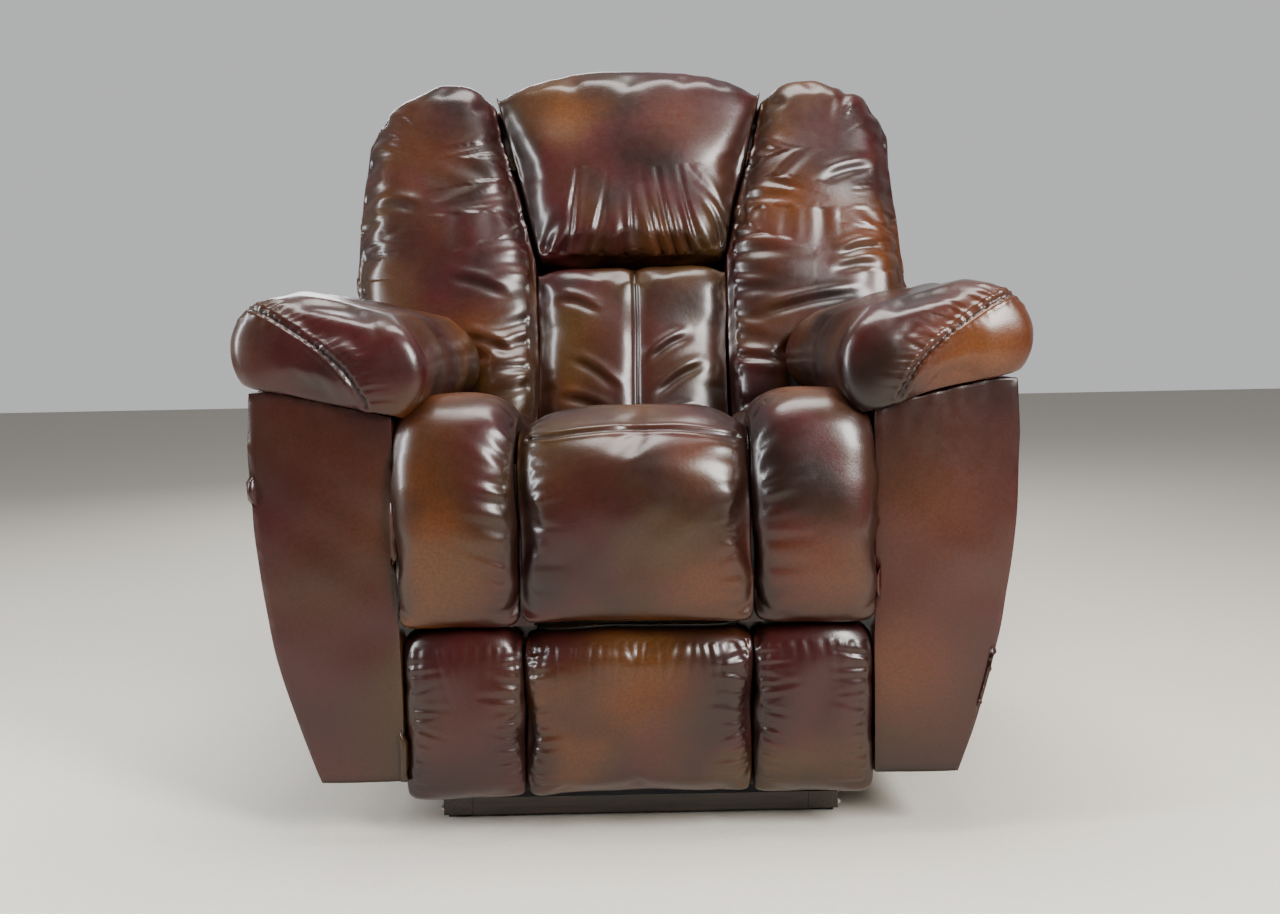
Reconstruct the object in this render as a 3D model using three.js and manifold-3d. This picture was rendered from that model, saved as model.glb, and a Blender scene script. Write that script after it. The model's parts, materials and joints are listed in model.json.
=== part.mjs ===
// Rocker recliner armchair with a channelled back, three-pad seat and fold-out footrest.
//
// Millimetres, +Z up. The sitter faces -Y, so left_ is +X. The origin is on the floor under the
// middle of the chair's outer box. Section outlines across the chair are [x, z], and outlines
// seen from the side are [y, z].

import * as THREE from 'three';
import { mergeVertices } from 'three/addons/utils/BufferGeometryUtils.js';
import Module from 'manifold-3d';

const wasm = await Module();
wasm.setup();

// ---------------------------------------------------------------- driving dimensions, mm

const GAP = 0.5;                    // between pieces that meet face to face
const PAD_GAP = 4;                  // between neighbouring soft pads

const INNER_WIDTH = 612;            // between the arms' inner faces
const DECK_HEIGHT = 395;            // top of the seat frame
const SEAT_FRONT = -455.8;          // front face of the seat pads, so that the chair's box is centred

const ARM_SETBACK = 34;             // arm's front face behind the seat's front face
const ARM_FOOT_HEIGHT = 88;
const ARM_FOOT_WIDTH = 109;
const ARM_WIDTH = 184;              // at its widest, below the arm pad
const ARM_WALL = 9;                 // padded cover over the arm frame
const ARM_TAIL = 230;               // arm's rear face behind the recline pivot
const ARM_PANEL = 18;
const ARM_LID = 25;                 // depth of the arm frame's sloping top
const ARM_FACE = 30;                // depth of its front
const ARM_OPENING = 60;             // the hollow is cut this far past the arm's lower edge
const ABOVE_ARMS = 800;
const ARM_PAD_RADIUS = 60;          // half the arm pad's thickness
const ARM_PAD_SPAN = 124;           // between the centres of the pad's two round edges, across
const ARM_PAD_INSET = 20;           // inner round edge's centre, outside the arm's inner face
const ARM_PAD_HEIGHT = 633;         // height of that centre
const ARM_PAD_RISE = 28.5;          // the outer round edge stands this much higher
const ARM_PAD_NOSE = 20;            // the pad stands forward of the arm by this

const SEAT_CROWN = 571;
const SEAT_REAR_TOP = 530;
const SKIRT_DEPTH = 72;             // seat pads' thickness where they hang over the front
const SKIRT_DROP = 104;             // bottom of that skirt, below the deck
const CENTRE_PAD_WIDTH = 296;
const SEAT_SIDE_GAP = 9;            // seat and footrest pads to the arms
const RAIL_HEIGHT = 50;
const RAIL_WIDTH = 28;

const PIVOT_BACK = 582;             // recline pivot behind the seat's front face
const PIVOT_RISE = 25;              // and above the deck
const BACK_TILT = THREE.MathUtils.degToRad(15);
const BACK_PAD_FRONT = -45;         // front face of the back pads, square to the back, from the pivot
const BACK_PAD_DEPTH = 121;
const BACK_FRAME_DEPTH = 35;
const BACK_COVER_DEPTH = 32;
const COVER_WALL = 14;
const BACK_CROWN = 722;             // top of the cover, along the back from the pivot
const BACK_FOOT = -40;              // lower end of the back pads along the back, from the pivot
const BACK_TAIL = 90;               // the cover reaches this much lower than the pads
const WING_FOOT = 187;              // where the side pads widen out over the arms
const HEAD_FOOT = 370;
const HEAD_TOP = 737;
const LUMBAR_HALF = 163;

const SHIN_BOTTOM = 60;
const SHIN_DEPTH = 72;
const SHIN_SETBACK = 22;            // footrest pads' face behind the seat's front face
const SHIN_CLEARANCE = 9;           // footrest pads' top edge to the skirt above
const BOARD_THICKNESS = 15;

const STEEL = 4;                    // plate and link thickness
const LAYER = 6.5;                  // from one layer of links to the next
const PLATE_TO_ARM = 2;
const LINK_WIDTH = 20;
const PIN = 5;                      // pivot pin radius
const PIN_HOLE = 5.6;
const REAR_LINK = 205;
const REAR_LINK_ANGLE = THREE.MathUtils.degToRad(-135);
const REAR_PIVOT_BACK = 187;        // footrest's rear link pivot behind the seat's front face
const REAR_PIVOT_DROP = 133;        // and below the deck
const ANKLE_INSET = 14;             // front link's pivot behind the footrest board
const ANKLE_DROP = 112;             // and below the rear link's fixed pivot
const CONTROL_PIVOT = [44.6, -21.4];     // control link's fixed pivot, from the rear link's
const CONTROL_END = [60, -17.8];         // its other end on the front link, from the knee pivot
const BOARD_LINK_PIVOT = [-21.8, 24.7];  // board link's pivot on the rear link, from the knee pivot
const BOARD_LINK_END = [-7.6, 52.2];     // its end on the footrest bracket, from the ankle pivot
const TUBE = 25;                    // square cross tubes

const GLIDE_HEIGHT = 6;
const RUNNER_TOP = 62;
const RUNNER_WIDTH = 40;
const RUNNER_INSET = 54;            // runner's centre line inside the arm's inner face
const RUNNER_BACK = 772;            // runners' rear ends, behind the seat's front face
const RUNNER_SETBACK = 117;         // and their front ends
const BASE_RAIL_HEIGHT = 24;
const BASE_RAIL_WIDTH = 30;
const ROCK_GAP = 3.5;
const CAM_HEIGHT = 60;
const CAM_RADIUS = 600;
const CAM_HALF_LENGTH = 260;
const ROCK_BACK = 482;              // rocking line behind the seat's front face
const REAR_TUBE_BACK = 672;         // cross tubes behind the seat's front face
const FRONT_TUBE_BACK = 432;

const SHAFT_BACK = 372;             // handle shaft behind the seat's front face
const SHAFT_DROP = 85;              // and below the deck
const SHAFT = 8;
const SHAFT_HOLE = 9;
const ESCUTCHEON_RADIUS = 26;
const ESCUTCHEON_DEPTH = 6;
const HANDLE_LENGTH = 190;
const HANDLE_THICKNESS = 14;
const HANDLE_CLEARANCE = 3;         // lever to the widest part of the arm, which it swings up past

const LEATHER = 0x4a2416;
const PLYWOOD = 0xb98d5c;
const STAINED = 0x1c1512;
const BLACK_STEEL = 0x2b2b2d;
const BRIGHT_STEEL = 0x8d9094;
const NYLON = 0x161616;
const WEBBING = 0x5b5348;

// ---------------------------------------------------------------- places worked out from them

const seatFront = SEAT_FRONT;
const armInner = INNER_WIDTH / 2;
const armFront = seatFront + ARM_SETBACK;
const padSlope = ARM_PAD_RISE / ARM_PAD_SPAN;
const padTilt = Math.atan(padSlope);
const padInnerX = armInner + ARM_PAD_INSET;
const plateOuter = armInner - PLATE_TO_ARM;
const softHalf = armInner - SEAT_SIDE_GAP;
const runnerX = armInner - RUNNER_INSET;
const skirtBottom = DECK_HEIGHT - SKIRT_DROP;
const hinge = { y: seatFront + PIVOT_BACK, z: DECK_HEIGHT + PIVOT_RISE };
const rearPivot = { y: seatFront + REAR_PIVOT_BACK, z: DECK_HEIGHT - REAR_PIVOT_DROP };
const shaftAt = { y: seatFront + SHAFT_BACK, z: DECK_HEIGHT - SHAFT_DROP };
const boardRear = seatFront + SHIN_SETBACK + SHIN_DEPTH + GAP + BOARD_THICKNESS;
const knee = {
  y: rearPivot.y - REAR_LINK * Math.cos(REAR_LINK_ANGLE),
  z: rearPivot.z + REAR_LINK * Math.sin(REAR_LINK_ANGLE),
};
const ankle = { y: boardRear + ANKLE_INSET, z: rearPivot.z - ANKLE_DROP };
const offset = (from, [dy, dz]) => ({ y: from.y + dy, z: from.z + dz });
const controlPivot = offset(rearPivot, CONTROL_PIVOT);
const controlEnd = offset(knee, CONTROL_END);
const boardLinkPivot = offset(knee, BOARD_LINK_PIVOT);
const boardLinkEnd = offset(ankle, BOARD_LINK_END);
const tubeBottom = RUNNER_TOP + ROCK_GAP + CAM_HEIGHT + GAP;
const frontTube = { y: seatFront + FRONT_TUBE_BACK, z: tubeBottom + TUBE / 2 };
const rearTube = { y: seatFront + REAR_TUBE_BACK, z: tubeBottom + TUBE / 2 };
const layers = [0, 1, 2, 3, 4].map((n) => plateOuter - n * LAYER);   // outer faces, from the arm inwards

// ---------------------------------------------------------------- shape helpers

const SIDES = [['left', 1], ['right', -1]];
const chair = new THREE.Group();

function addPart(name, geometry, colour, finish = {}, parent = chair) {
  const { roughness = 0.6, metalness = 0 } = finish;
  const mesh = new THREE.Mesh(geometry, new THREE.MeshStandardMaterial({
    color: colour, roughness, metalness,
  }));
  mesh.name = name;
  parent.add(mesh);
  return mesh;
}

const matte = { roughness: 0.7 };
const glossy = { roughness: 0.35 };
const metal = { roughness: 0.45, metalness: 0.8 };

function shapeOf(outline) {
  const shape = new THREE.Shape();
  shape.setFromPoints(outline.map(([a, b]) => new THREE.Vector2(a, b)));
  return shape;
}

function extrude(shape, from, to, edge = 0, curveSegments = 8) {
  const geometry = new THREE.ExtrudeGeometry(shape, {
    depth: to - from - 2 * edge,
    bevelEnabled: edge > 0,
    bevelThickness: edge,
    bevelSize: edge,
    bevelOffset: -edge,
    bevelSegments: 2,
    curveSegments,
  });
  return geometry.translate(0, 0, from + edge);
}

// An outline [x, z] carried along Y.
function alongY(shape, y0, y1, edge, curveSegments) {
  return extrude(shape, -y1, -y0, edge, curveSegments).rotateX(Math.PI / 2);
}

// An outline [y, z] carried along X, on the side that the sign of side gives.
function alongX(shape, x0, x1, side = 1, edge, curveSegments) {
  const low = Math.min(side * x0, side * x1);
  const high = Math.max(side * x0, side * x1);
  const turn = new THREE.Matrix4().makeBasis(
    new THREE.Vector3(0, 1, 0), new THREE.Vector3(0, 0, 1), new THREE.Vector3(1, 0, 0));
  return extrude(shape, low, high, edge, curveSegments).applyMatrix4(turn);
}

function block(x0, x1, y0, y1, z0, z1) {
  const geometry = new THREE.BoxGeometry(Math.abs(x1 - x0), y1 - y0, z1 - z0);
  return geometry.translate((x0 + x1) / 2, (y0 + y1) / 2, (z0 + z1) / 2);
}

function rodAlongX(at, radius, x0, x1, segments = 16) {
  const geometry = new THREE.CylinderGeometry(radius, radius, Math.abs(x1 - x0), segments);
  return geometry.rotateZ(Math.PI / 2).translate((x0 + x1) / 2, at.y, at.z);
}

function toSolid(geometry) {
  const bare = geometry.clone();
  bare.deleteAttribute('normal');
  bare.deleteAttribute('uv');
  const merged = mergeVertices(bare, 1e-4);
  return new wasm.Manifold(new wasm.Mesh({
    numProp: 3,
    vertProperties: new Float32Array(merged.attributes.position.array),
    triVerts: new Uint32Array(merged.index.array),
  }));
}

function toGeometry(solid) {
  const mesh = solid.getMesh();
  const geometry = new THREE.BufferGeometry();
  geometry.setAttribute('position', new THREE.BufferAttribute(mesh.vertProperties, 3));
  geometry.setIndex(new THREE.BufferAttribute(mesh.triVerts, 1));
  return geometry;
}

function cut(geometry, ...tools) {
  return toGeometry(tools.reduce((left, tool) => left.subtract(toSolid(tool)), toSolid(geometry)));
}

function join(geometry, ...others) {
  return toGeometry(others.reduce((sum, other) => sum.add(toSolid(other)), toSolid(geometry)));
}

function common(geometry, other) {
  return toGeometry(toSolid(geometry).intersect(toSolid(other)));
}

function mirrored(outline, side) {
  return outline.map(([a, b]) => [a * side, b]);
}

// ---------------------------------------------------------------- base

function runnerBetween(side) {
  return [side * (runnerX - RUNNER_WIDTH / 2), side * (runnerX + RUNNER_WIDTH / 2)];
}

function addBase() {
  const front = seatFront + RUNNER_SETBACK;
  const rear = seatFront + RUNNER_BACK;
  const foot = GLIDE_HEIGHT + GAP;
  for (const [name, side] of SIDES) {
    const [x0, x1] = runnerBetween(side);
    const outline = shapeOf([
      [front, foot], [rear, foot], [rear, RUNNER_TOP - 20], [rear - 20, RUNNER_TOP],
      [front + 60, RUNNER_TOP], [front, foot + BASE_RAIL_HEIGHT],
    ]);
    addPart(`${name}_base_runner`, alongX(outline, Math.abs(x0), Math.abs(x1), side), STAINED, matte);
    addPart(`${name}_base_glide`,
      block(x0 + side * 5, x1 - side * 5, front + 10, rear - 10, 0, GLIDE_HEIGHT), NYLON, matte);
  }
  const reach = runnerX - RUNNER_WIDTH / 2 - GAP;
  addPart('front_base_rail',
    block(-reach, reach, front, front + BASE_RAIL_WIDTH, foot, foot + BASE_RAIL_HEIGHT), STAINED, matte);
  addPart('rear_base_rail',
    block(-reach, reach, rearTube.y - BASE_RAIL_WIDTH / 2, rearTube.y + BASE_RAIL_WIDTH / 2,
      foot, foot + BASE_RAIL_HEIGHT), STAINED, matte);
}

function addRockerSprings() {
  const wire = 3;
  const coil = 20;
  const turns = 5;
  const bottom = GLIDE_HEIGHT + GAP + BASE_RAIL_HEIGHT + GAP + wire;
  const top = tubeBottom - GAP - wire;
  const section = new THREE.Shape().absarc(0, 0, wire, 0, 2 * Math.PI, false);
  for (const [name, side] of SIDES) {
    const points = [];
    for (let step = 0; step <= 10 * turns; step += 1) {
      const angle = (2 * Math.PI * step) / 10;
      const height = bottom + ((top - bottom) * step) / (10 * turns);
      points.push(new THREE.Vector3(
        side * 150 + coil * Math.cos(angle), rearTube.y + coil * Math.sin(angle), height));
    }
    const geometry = new THREE.ExtrudeGeometry(section, {
      extrudePath: new THREE.CatmullRomCurve3(points), steps: 10 * turns, curveSegments: 3,
    });
    addPart(`${name}_rocker_spring`, geometry, BRIGHT_STEEL, metal);
  }
}

// ---------------------------------------------------------------- rocking body: cams, tubes, plates

function addRockerCams() {
  const rockY = seatFront + ROCK_BACK;
  const bottom = RUNNER_TOP + ROCK_GAP;
  const reach = Math.asin(CAM_HALF_LENGTH / CAM_RADIUS);
  const outline = new THREE.Shape();
  outline.absarc(rockY, bottom + CAM_RADIUS, CAM_RADIUS, -Math.PI / 2 - reach, -Math.PI / 2 + reach, false);
  outline.lineTo(rockY + CAM_HALF_LENGTH - 15, bottom + CAM_HEIGHT);
  outline.lineTo(rockY - CAM_HALF_LENGTH + 15, bottom + CAM_HEIGHT);
  for (const [name, side] of SIDES) {
    const x0 = runnerX - RUNNER_WIDTH / 2;
    addPart(`${name}_rocker_cam`,
      alongX(outline, x0, x0 + RUNNER_WIDTH, side, 0, 16), PLYWOOD, matte);
  }
}

function addCrossTubes() {
  const reach = plateOuter - STEEL - GAP;
  for (const [name, at] of [['front', frontTube], ['rear', rearTube]]) {
    addPart(`${name}_cross_tube`,
      block(-reach, reach, at.y - TUBE / 2, at.y + TUBE / 2, at.z - TUBE / 2, at.z + TUBE / 2),
      BLACK_STEEL, metal);
  }
  const railRear = seatFront + 150;
  addPart('front_body_rail',
    block(-reach, reach, railRear - 32, railRear, skirtBottom + 1, skirtBottom + 39), PLYWOOD, matte);
}

function addMechanismPlates() {
  const outline = shapeOf([
    [rearPivot.y - 20, rearPivot.z - 22], [rearPivot.y - 24, rearPivot.z + 10],
    [rearPivot.y, rearPivot.z + 28], [shaftAt.y, shaftAt.z + 45],
    [hinge.y - 28, hinge.z + 12], [hinge.y, hinge.z + 30], [hinge.y + 28, hinge.z + 12],
    [hinge.y + 25, hinge.z - 25], [rearTube.y + 30, rearTube.z - 18],
    [frontTube.y - 30, frontTube.z - 18],
  ]);
  for (const [name, side] of SIDES) {
    const sheet = alongX(outline, plateOuter - STEEL, plateOuter, side);
    const drills = [
      [rearPivot, PIN_HOLE], [controlPivot, PIN_HOLE], [hinge, PIN_HOLE], [shaftAt, SHAFT_HOLE],
    ].map(([at, radius]) => rodAlongX(at, radius, side * (plateOuter - 20), side * (plateOuter + 20)));
    addPart(`${name}_mechanism_plate`, cut(sheet, ...drills), BLACK_STEEL, metal);
  }
}

// ---------------------------------------------------------------- arms

// Height of the arm's sloping top, just under the pad, at a distance x from the centre line.
function armTop(x) {
  const below = ARM_PAD_RADIUS / Math.cos(padTilt);
  return ARM_PAD_HEIGHT + (x - padInnerX) * padSlope - below - 2 * GAP;
}

// The arm's outer side seen from the front, from its narrow foot up to the shoulder.
function armSide(inset) {
  const outer = armInner + ARM_WIDTH - inset;
  const shoulder = armTop(outer) - 70;
  return new THREE.QuadraticBezierCurve(
    new THREE.Vector2(armInner + ARM_FOOT_WIDTH - inset, ARM_FOOT_HEIGHT),
    new THREE.Vector2(outer, (ARM_FOOT_HEIGHT + shoulder) / 2 - 40),
    new THREE.Vector2(outer, shoulder));
}

// How far that side is from the centre line at a height z.
function armSideAt(z) {
  const reached = armSide(0).getPoints(200).find((point) => point.y >= z);
  return reached ? reached.x : armInner + ARM_WIDTH;
}

function armSection(inset) {
  const inner = armInner + inset;
  const corner = armInner + ARM_WIDTH - inset - 6;
  return [
    [inner, ARM_FOOT_HEIGHT],
    ...armSide(inset).getPoints(8).map((point) => [point.x, point.y]),
    [corner, armTop(corner) - inset],
    [inner, armTop(inner) - inset],
  ];
}

// The arm seen from the side: its rear top corner is a round about the recline pivot, so that the
// back's side pads can swing down past it.
function armProfile(inset, bottom) {
  const round = WING_FOOT - 9 - inset;
  const shape = new THREE.Shape();
  const high = ARM_PAD_HEIGHT + 100;
  shape.moveTo(armFront + inset, bottom);
  shape.lineTo(armFront + inset, high);
  shape.lineTo(hinge.y, high);
  shape.lineTo(hinge.y, hinge.z + round);
  shape.absarc(hinge.y, hinge.z, round, Math.PI / 2, Math.PI / 7, true);
  shape.lineTo(hinge.y + ARM_TAIL - inset, hinge.z - 40);
  shape.lineTo(hinge.y + ARM_TAIL - inset, bottom);
  return shape;
}

function armSolid(side, inset, bottom) {
  const rear = hinge.y + ARM_TAIL + 50;
  const front = alongY(shapeOf(mirrored(armSection(inset), side)), armFront - 50, rear);
  const profile = alongX(armProfile(inset, bottom), armInner - 50, armInner + ARM_WIDTH + 50, side);
  return common(front, profile);
}

function addArm(name, side) {
  const below = ARM_FOOT_HEIGHT - ARM_OPENING;
  const inside = armInner + ARM_WALL + GAP;
  const outside = armInner + ARM_WIDTH;
  const lidAt = (x) => armTop(x) - ARM_WALL - ARM_LID;
  const bore = rodAlongX(shaftAt, SHAFT_HOLE + 2, side * (armInner - 20), side * (outside + 40));
  const lining = armSolid(side, ARM_WALL, below);
  const slot = block(
    side * (armInner + ARM_WALL), side * (armInner + ARM_FOOT_WIDTH - ARM_WALL),
    armFront + ARM_WALL, hinge.y + ARM_TAIL - ARM_WALL, below, ARM_FOOT_HEIGHT + ARM_OPENING);
  let cover = cut(armSolid(side, 0, below), lining, slot);
  let panel = common(
    armSolid(side, ARM_WALL + GAP, below),
    join(
      block(side * inside, side * (inside + ARM_PANEL), armFront, hinge.y + ARM_TAIL, below, ABOVE_ARMS),
      alongY(shapeOf(mirrored([
        [inside, lidAt(inside)], [outside, lidAt(outside)], [outside, ABOVE_ARMS], [inside, ABOVE_ARMS],
      ], side)), armFront, hinge.y),
      block(side * inside, side * outside, armFront, armFront + ARM_WALL + ARM_FACE, below, ABOVE_ARMS),
    ));
  if (side < 0) {
    cover = cut(cover, bore);
    panel = cut(panel, bore);
  }
  addPart(`${name}_arm_cover`, cover, LEATHER, glossy);
  addPart(`${name}_arm_frame`, panel, PLYWOOD, matte);
}

// A thick flat pad with two round edges, its outer edge higher, which stands proud of the arm.
function addArmPad(name, side) {
  const turn = padTilt;
  const shape = new THREE.Shape();
  shape.absarc(padInnerX, ARM_PAD_HEIGHT, ARM_PAD_RADIUS,
    Math.PI / 2 + turn, (3 * Math.PI) / 2 + turn, false);
  shape.absarc(padInnerX + ARM_PAD_SPAN, ARM_PAD_HEIGHT + ARM_PAD_RISE, ARM_PAD_RADIUS,
    -Math.PI / 2 + turn, Math.PI / 2 + turn, false);
  const outline = shape.getPoints(8).map((p) => [p.x, p.y]);
  const wingAbove = (ARM_PAD_HEIGHT - hinge.z) * Math.tan(BACK_TILT) + BACK_PAD_FRONT / Math.cos(BACK_TILT);
  const rear = hinge.y + wingAbove - 12;
  addPart(`${name}_arm_pad`,
    alongY(shapeOf(mirrored(outline, side)), armFront - ARM_PAD_NOSE, rear, 18), LEATHER, glossy);
}

// ---------------------------------------------------------------- handle and its shaft

function addHandle() {
  const seat = armSideAt(shaftAt.z + ESCUTCHEON_RADIUS) + GAP;
  const hub = seat + ESCUTCHEON_DEPTH + GAP;
  const leverFace = armInner + ARM_WIDTH + HANDLE_CLEARANCE;
  addPart('drive_shaft', rodAlongX(shaftAt, SHAFT, GAP - hub, plateOuter - GAP), BRIGHT_STEEL, metal);
  const collar = rodAlongX(shaftAt, ESCUTCHEON_RADIUS, -seat - ESCUTCHEON_DEPTH, -seat, 24);
  const bore = rodAlongX(shaftAt, SHAFT_HOLE, -seat - 30, 30 - seat);
  addPart('handle_escutcheon', cut(collar, bore), NYLON, matte);
  const lever = new THREE.Shape();
  const tip = shaftAt.y - HANDLE_LENGTH;
  lever.absarc(shaftAt.y, shaftAt.z, 20, -Math.PI / 2, Math.PI / 2, false);
  lever.quadraticCurveTo(shaftAt.y - 70, shaftAt.z + 6, tip, shaftAt.z + 26);
  lever.absarc(tip, shaftAt.z + 12, 14, Math.PI / 2, (3 * Math.PI) / 2, false);
  lever.quadraticCurveTo(shaftAt.y - 70, shaftAt.z - 16, shaftAt.y, shaftAt.z - 20);
  addPart('handle', join(
    alongX(lever, leverFace, leverFace + HANDLE_THICKNESS, -1, 4),
    rodAlongX(shaftAt, SHAFT * 2, -hub, -leverFace - HANDLE_THICKNESS / 2, 24)), STAINED, glossy);
}

// ---------------------------------------------------------------- seat

function addSeatFrame() {
  const front = seatFront + SKIRT_DEPTH + 25;
  const rear = hinge.y - 70;
  const bottom = DECK_HEIGHT - RAIL_HEIGHT;
  const half = layers[4] - STEEL - 6;
  for (const [name, side] of SIDES) {
    addPart(`${name}_seat_rail`,
      block(side * (half - RAIL_WIDTH), side * half, front, rear, bottom, DECK_HEIGHT), PLYWOOD, matte);
  }
  const reach = half - RAIL_WIDTH - GAP;
  addPart('front_seat_rail',
    block(-reach, reach, front, front + RAIL_WIDTH, bottom, DECK_HEIGHT), PLYWOOD, matte);
  addPart('rear_seat_rail',
    block(-reach, reach, rear - RAIL_WIDTH, rear, bottom, DECK_HEIGHT), PLYWOOD, matte);
}

// Zigzag wire springs that lie across the seat frame from front to back.
function addSeatSprings() {
  const wire = 2;
  const bends = 9;
  const front = seatFront + SKIRT_DEPTH + 35;
  const rear = hinge.y - 80;
  const section = new THREE.Shape().absarc(0, 0, wire, 0, 2 * Math.PI, false);
  for (const [name, side] of SIDES) {
    const points = [];
    for (let bend = 0; bend <= bends; bend += 1) {
      const along = front + ((rear - front) * bend) / bends;
      points.push(new THREE.Vector3(side * 105 + (bend % 2 ? 35 : -35), along, DECK_HEIGHT + wire + GAP));
    }
    const geometry = new THREE.ExtrudeGeometry(section, {
      extrudePath: new THREE.CatmullRomCurve3(points), steps: 4 * bends, curveSegments: 3,
    });
    addPart(`${name}_seat_spring`, geometry, BRIGHT_STEEL, metal);
  }
}

// The pad runs from the back, over its crown and down in front of the seat frame.
function seatPadOutline(lift) {
  const base = DECK_HEIGHT + 5;
  const rear = hinge.y - 68;
  const crown = SEAT_CROWN + lift;
  const inner = seatFront + SKIRT_DEPTH;
  const shape = new THREE.Shape();
  shape.moveTo(rear, base);
  shape.lineTo(rear + 18, SEAT_REAR_TOP - 25);
  shape.quadraticCurveTo(rear + 15, SEAT_REAR_TOP, rear - 30, SEAT_REAR_TOP);
  shape.quadraticCurveTo((seatFront + rear) / 2, SEAT_REAR_TOP + 5, seatFront + 95, crown);
  shape.quadraticCurveTo(seatFront + 5, crown + 5, seatFront, crown - 110);
  shape.quadraticCurveTo(seatFront - 2, skirtBottom + 5, seatFront + 30, skirtBottom);
  shape.lineTo(inner - 20, skirtBottom);
  shape.quadraticCurveTo(inner, skirtBottom + 5, inner, skirtBottom + 45);
  shape.lineTo(inner, base);
  return shape.getPoints(5).map((p) => [p.x, p.y]);
}

function addSeatPads() {
  const half = CENTRE_PAD_WIDTH / 2;
  addPart('centre_seat_pad',
    alongX(shapeOf(seatPadOutline(0)), -half, half, 1, 12), LEATHER, glossy);
  for (const [name, side] of SIDES) {
    addPart(`${name}_seat_pad`,
      alongX(shapeOf(seatPadOutline(14)), half + PAD_GAP, softHalf, side, 16), LEATHER, glossy);
  }
}

// ---------------------------------------------------------------- back, in its own tilted frame

const back = new THREE.Group();
back.position.set(0, hinge.y, hinge.z);
back.rotation.x = -BACK_TILT;
chair.add(back);

const padRear = BACK_PAD_FRONT + BACK_PAD_DEPTH;
const frameFront = padRear + 4;
const frameRear = frameFront + BACK_FRAME_DEPTH;
const coverFront = frameRear + 3;
const coverRear = coverFront + BACK_COVER_DEPTH;
const postOuter = layers[2] - STEEL - GAP;
const postWidth = 30;
const lowerHalf = postOuter - 2;

function addBackFrame() {
  const foot = BACK_FOOT - 70;
  const top = HEAD_TOP - 150;
  for (const [name, side] of SIDES) {
    addPart(`${name}_back_post`,
      block(side * (postOuter - postWidth), side * postOuter, frameFront, frameRear, foot, top),
      PLYWOOD, matte, back);
  }
  const between = postOuter - postWidth - GAP;
  const wingRail = armInner + 125;
  addPart('bottom_back_rail',
    block(-between, between, frameFront, frameRear, foot, foot + 50), PLYWOOD, matte, back);
  addPart('middle_back_rail',
    block(-between, between, frameFront, frameRear, WING_FOOT + 20, WING_FOOT + 65), PLYWOOD, matte, back);
  addPart('top_back_rail',
    block(-wingRail, wingRail, frameFront, frameRear, top + GAP, top + 30), PLYWOOD, matte, back);
  addPart('lumbar_webbing',
    block(-between, between, frameFront + 2, frameFront + 5, 40, 110), WEBBING, matte, back);
}

// A flat arm from each post to the recline pivot, with its pin through the mechanism plate.
function addBackBrackets() {
  const outline = new THREE.Shape();
  outline.absarc(0, 0, 19, Math.PI / 2, (3 * Math.PI) / 2, false);
  outline.lineTo(frameRear - 3, -75);
  outline.lineTo(frameRear - 3, 115);
  outline.lineTo(frameFront + 3, 115);
  for (const [name, side] of SIDES) {
    const sheet = alongX(outline, layers[2] - STEEL, layers[2], side);
    const pin = rodAlongX({ y: 0, z: 0 }, PIN, side * (layers[2] - 1), side * plateOuter);
    addPart(`${name}_back_bracket`, join(sheet, pin), BLACK_STEEL, metal, back);
  }
}

// The channel between the head pillow and a side pad leans outwards above the lumbar pad.
function addBackPads() {
  const lean = (z) => LUMBAR_HALF + Math.max(0, z - 387) * 0.245;
  for (const [name, side] of SIDES) {
    const wing = [
      [172, WING_FOOT], [184, 240], [186, 345], [180, 436], [171, 531], [164, 608], [146, 652],
      [116, 690], [52, 712], [-13, 708],
    ].map(([dx, z]) => [armInner + dx, z]);
    const outline = [
      [LUMBAR_HALF + PAD_GAP, BACK_FOOT], [lowerHalf, BACK_FOOT], [lowerHalf, WING_FOOT], ...wing,
      [lean(698) + PAD_GAP, 698], [lean(387) + PAD_GAP, 387],
    ];
    addPart(`${name}_back_pad`,
      alongY(shapeOf(mirrored(outline, side)), BACK_PAD_FRONT, padRear, 16), LEATHER, glossy, back);
  }
  const head = new THREE.Shape();
  head.moveTo(-LUMBAR_HALF, HEAD_FOOT);
  head.lineTo(LUMBAR_HALF, HEAD_FOOT);
  head.lineTo(lean(387), 387);
  head.lineTo(lean(698) , 698);
  head.quadraticCurveTo(140, HEAD_TOP, 0, HEAD_TOP);
  head.quadraticCurveTo(-140, HEAD_TOP, -lean(698), 698);
  head.lineTo(-lean(387), 387);
  addPart('head_pillow', alongY(head, BACK_PAD_FRONT - 6, padRear, 16, 6), LEATHER, glossy, back);
  const half = LUMBAR_HALF;
  const lumbar = shapeOf([
    [-half, BACK_FOOT], [half, BACK_FOOT], [half, HEAD_FOOT - PAD_GAP], [-half, HEAD_FOOT - PAD_GAP],
  ]);
  addPart('lumbar_pad', alongY(lumbar, BACK_PAD_FRONT, padRear, 14), LEATHER, glossy, back);
}

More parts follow.
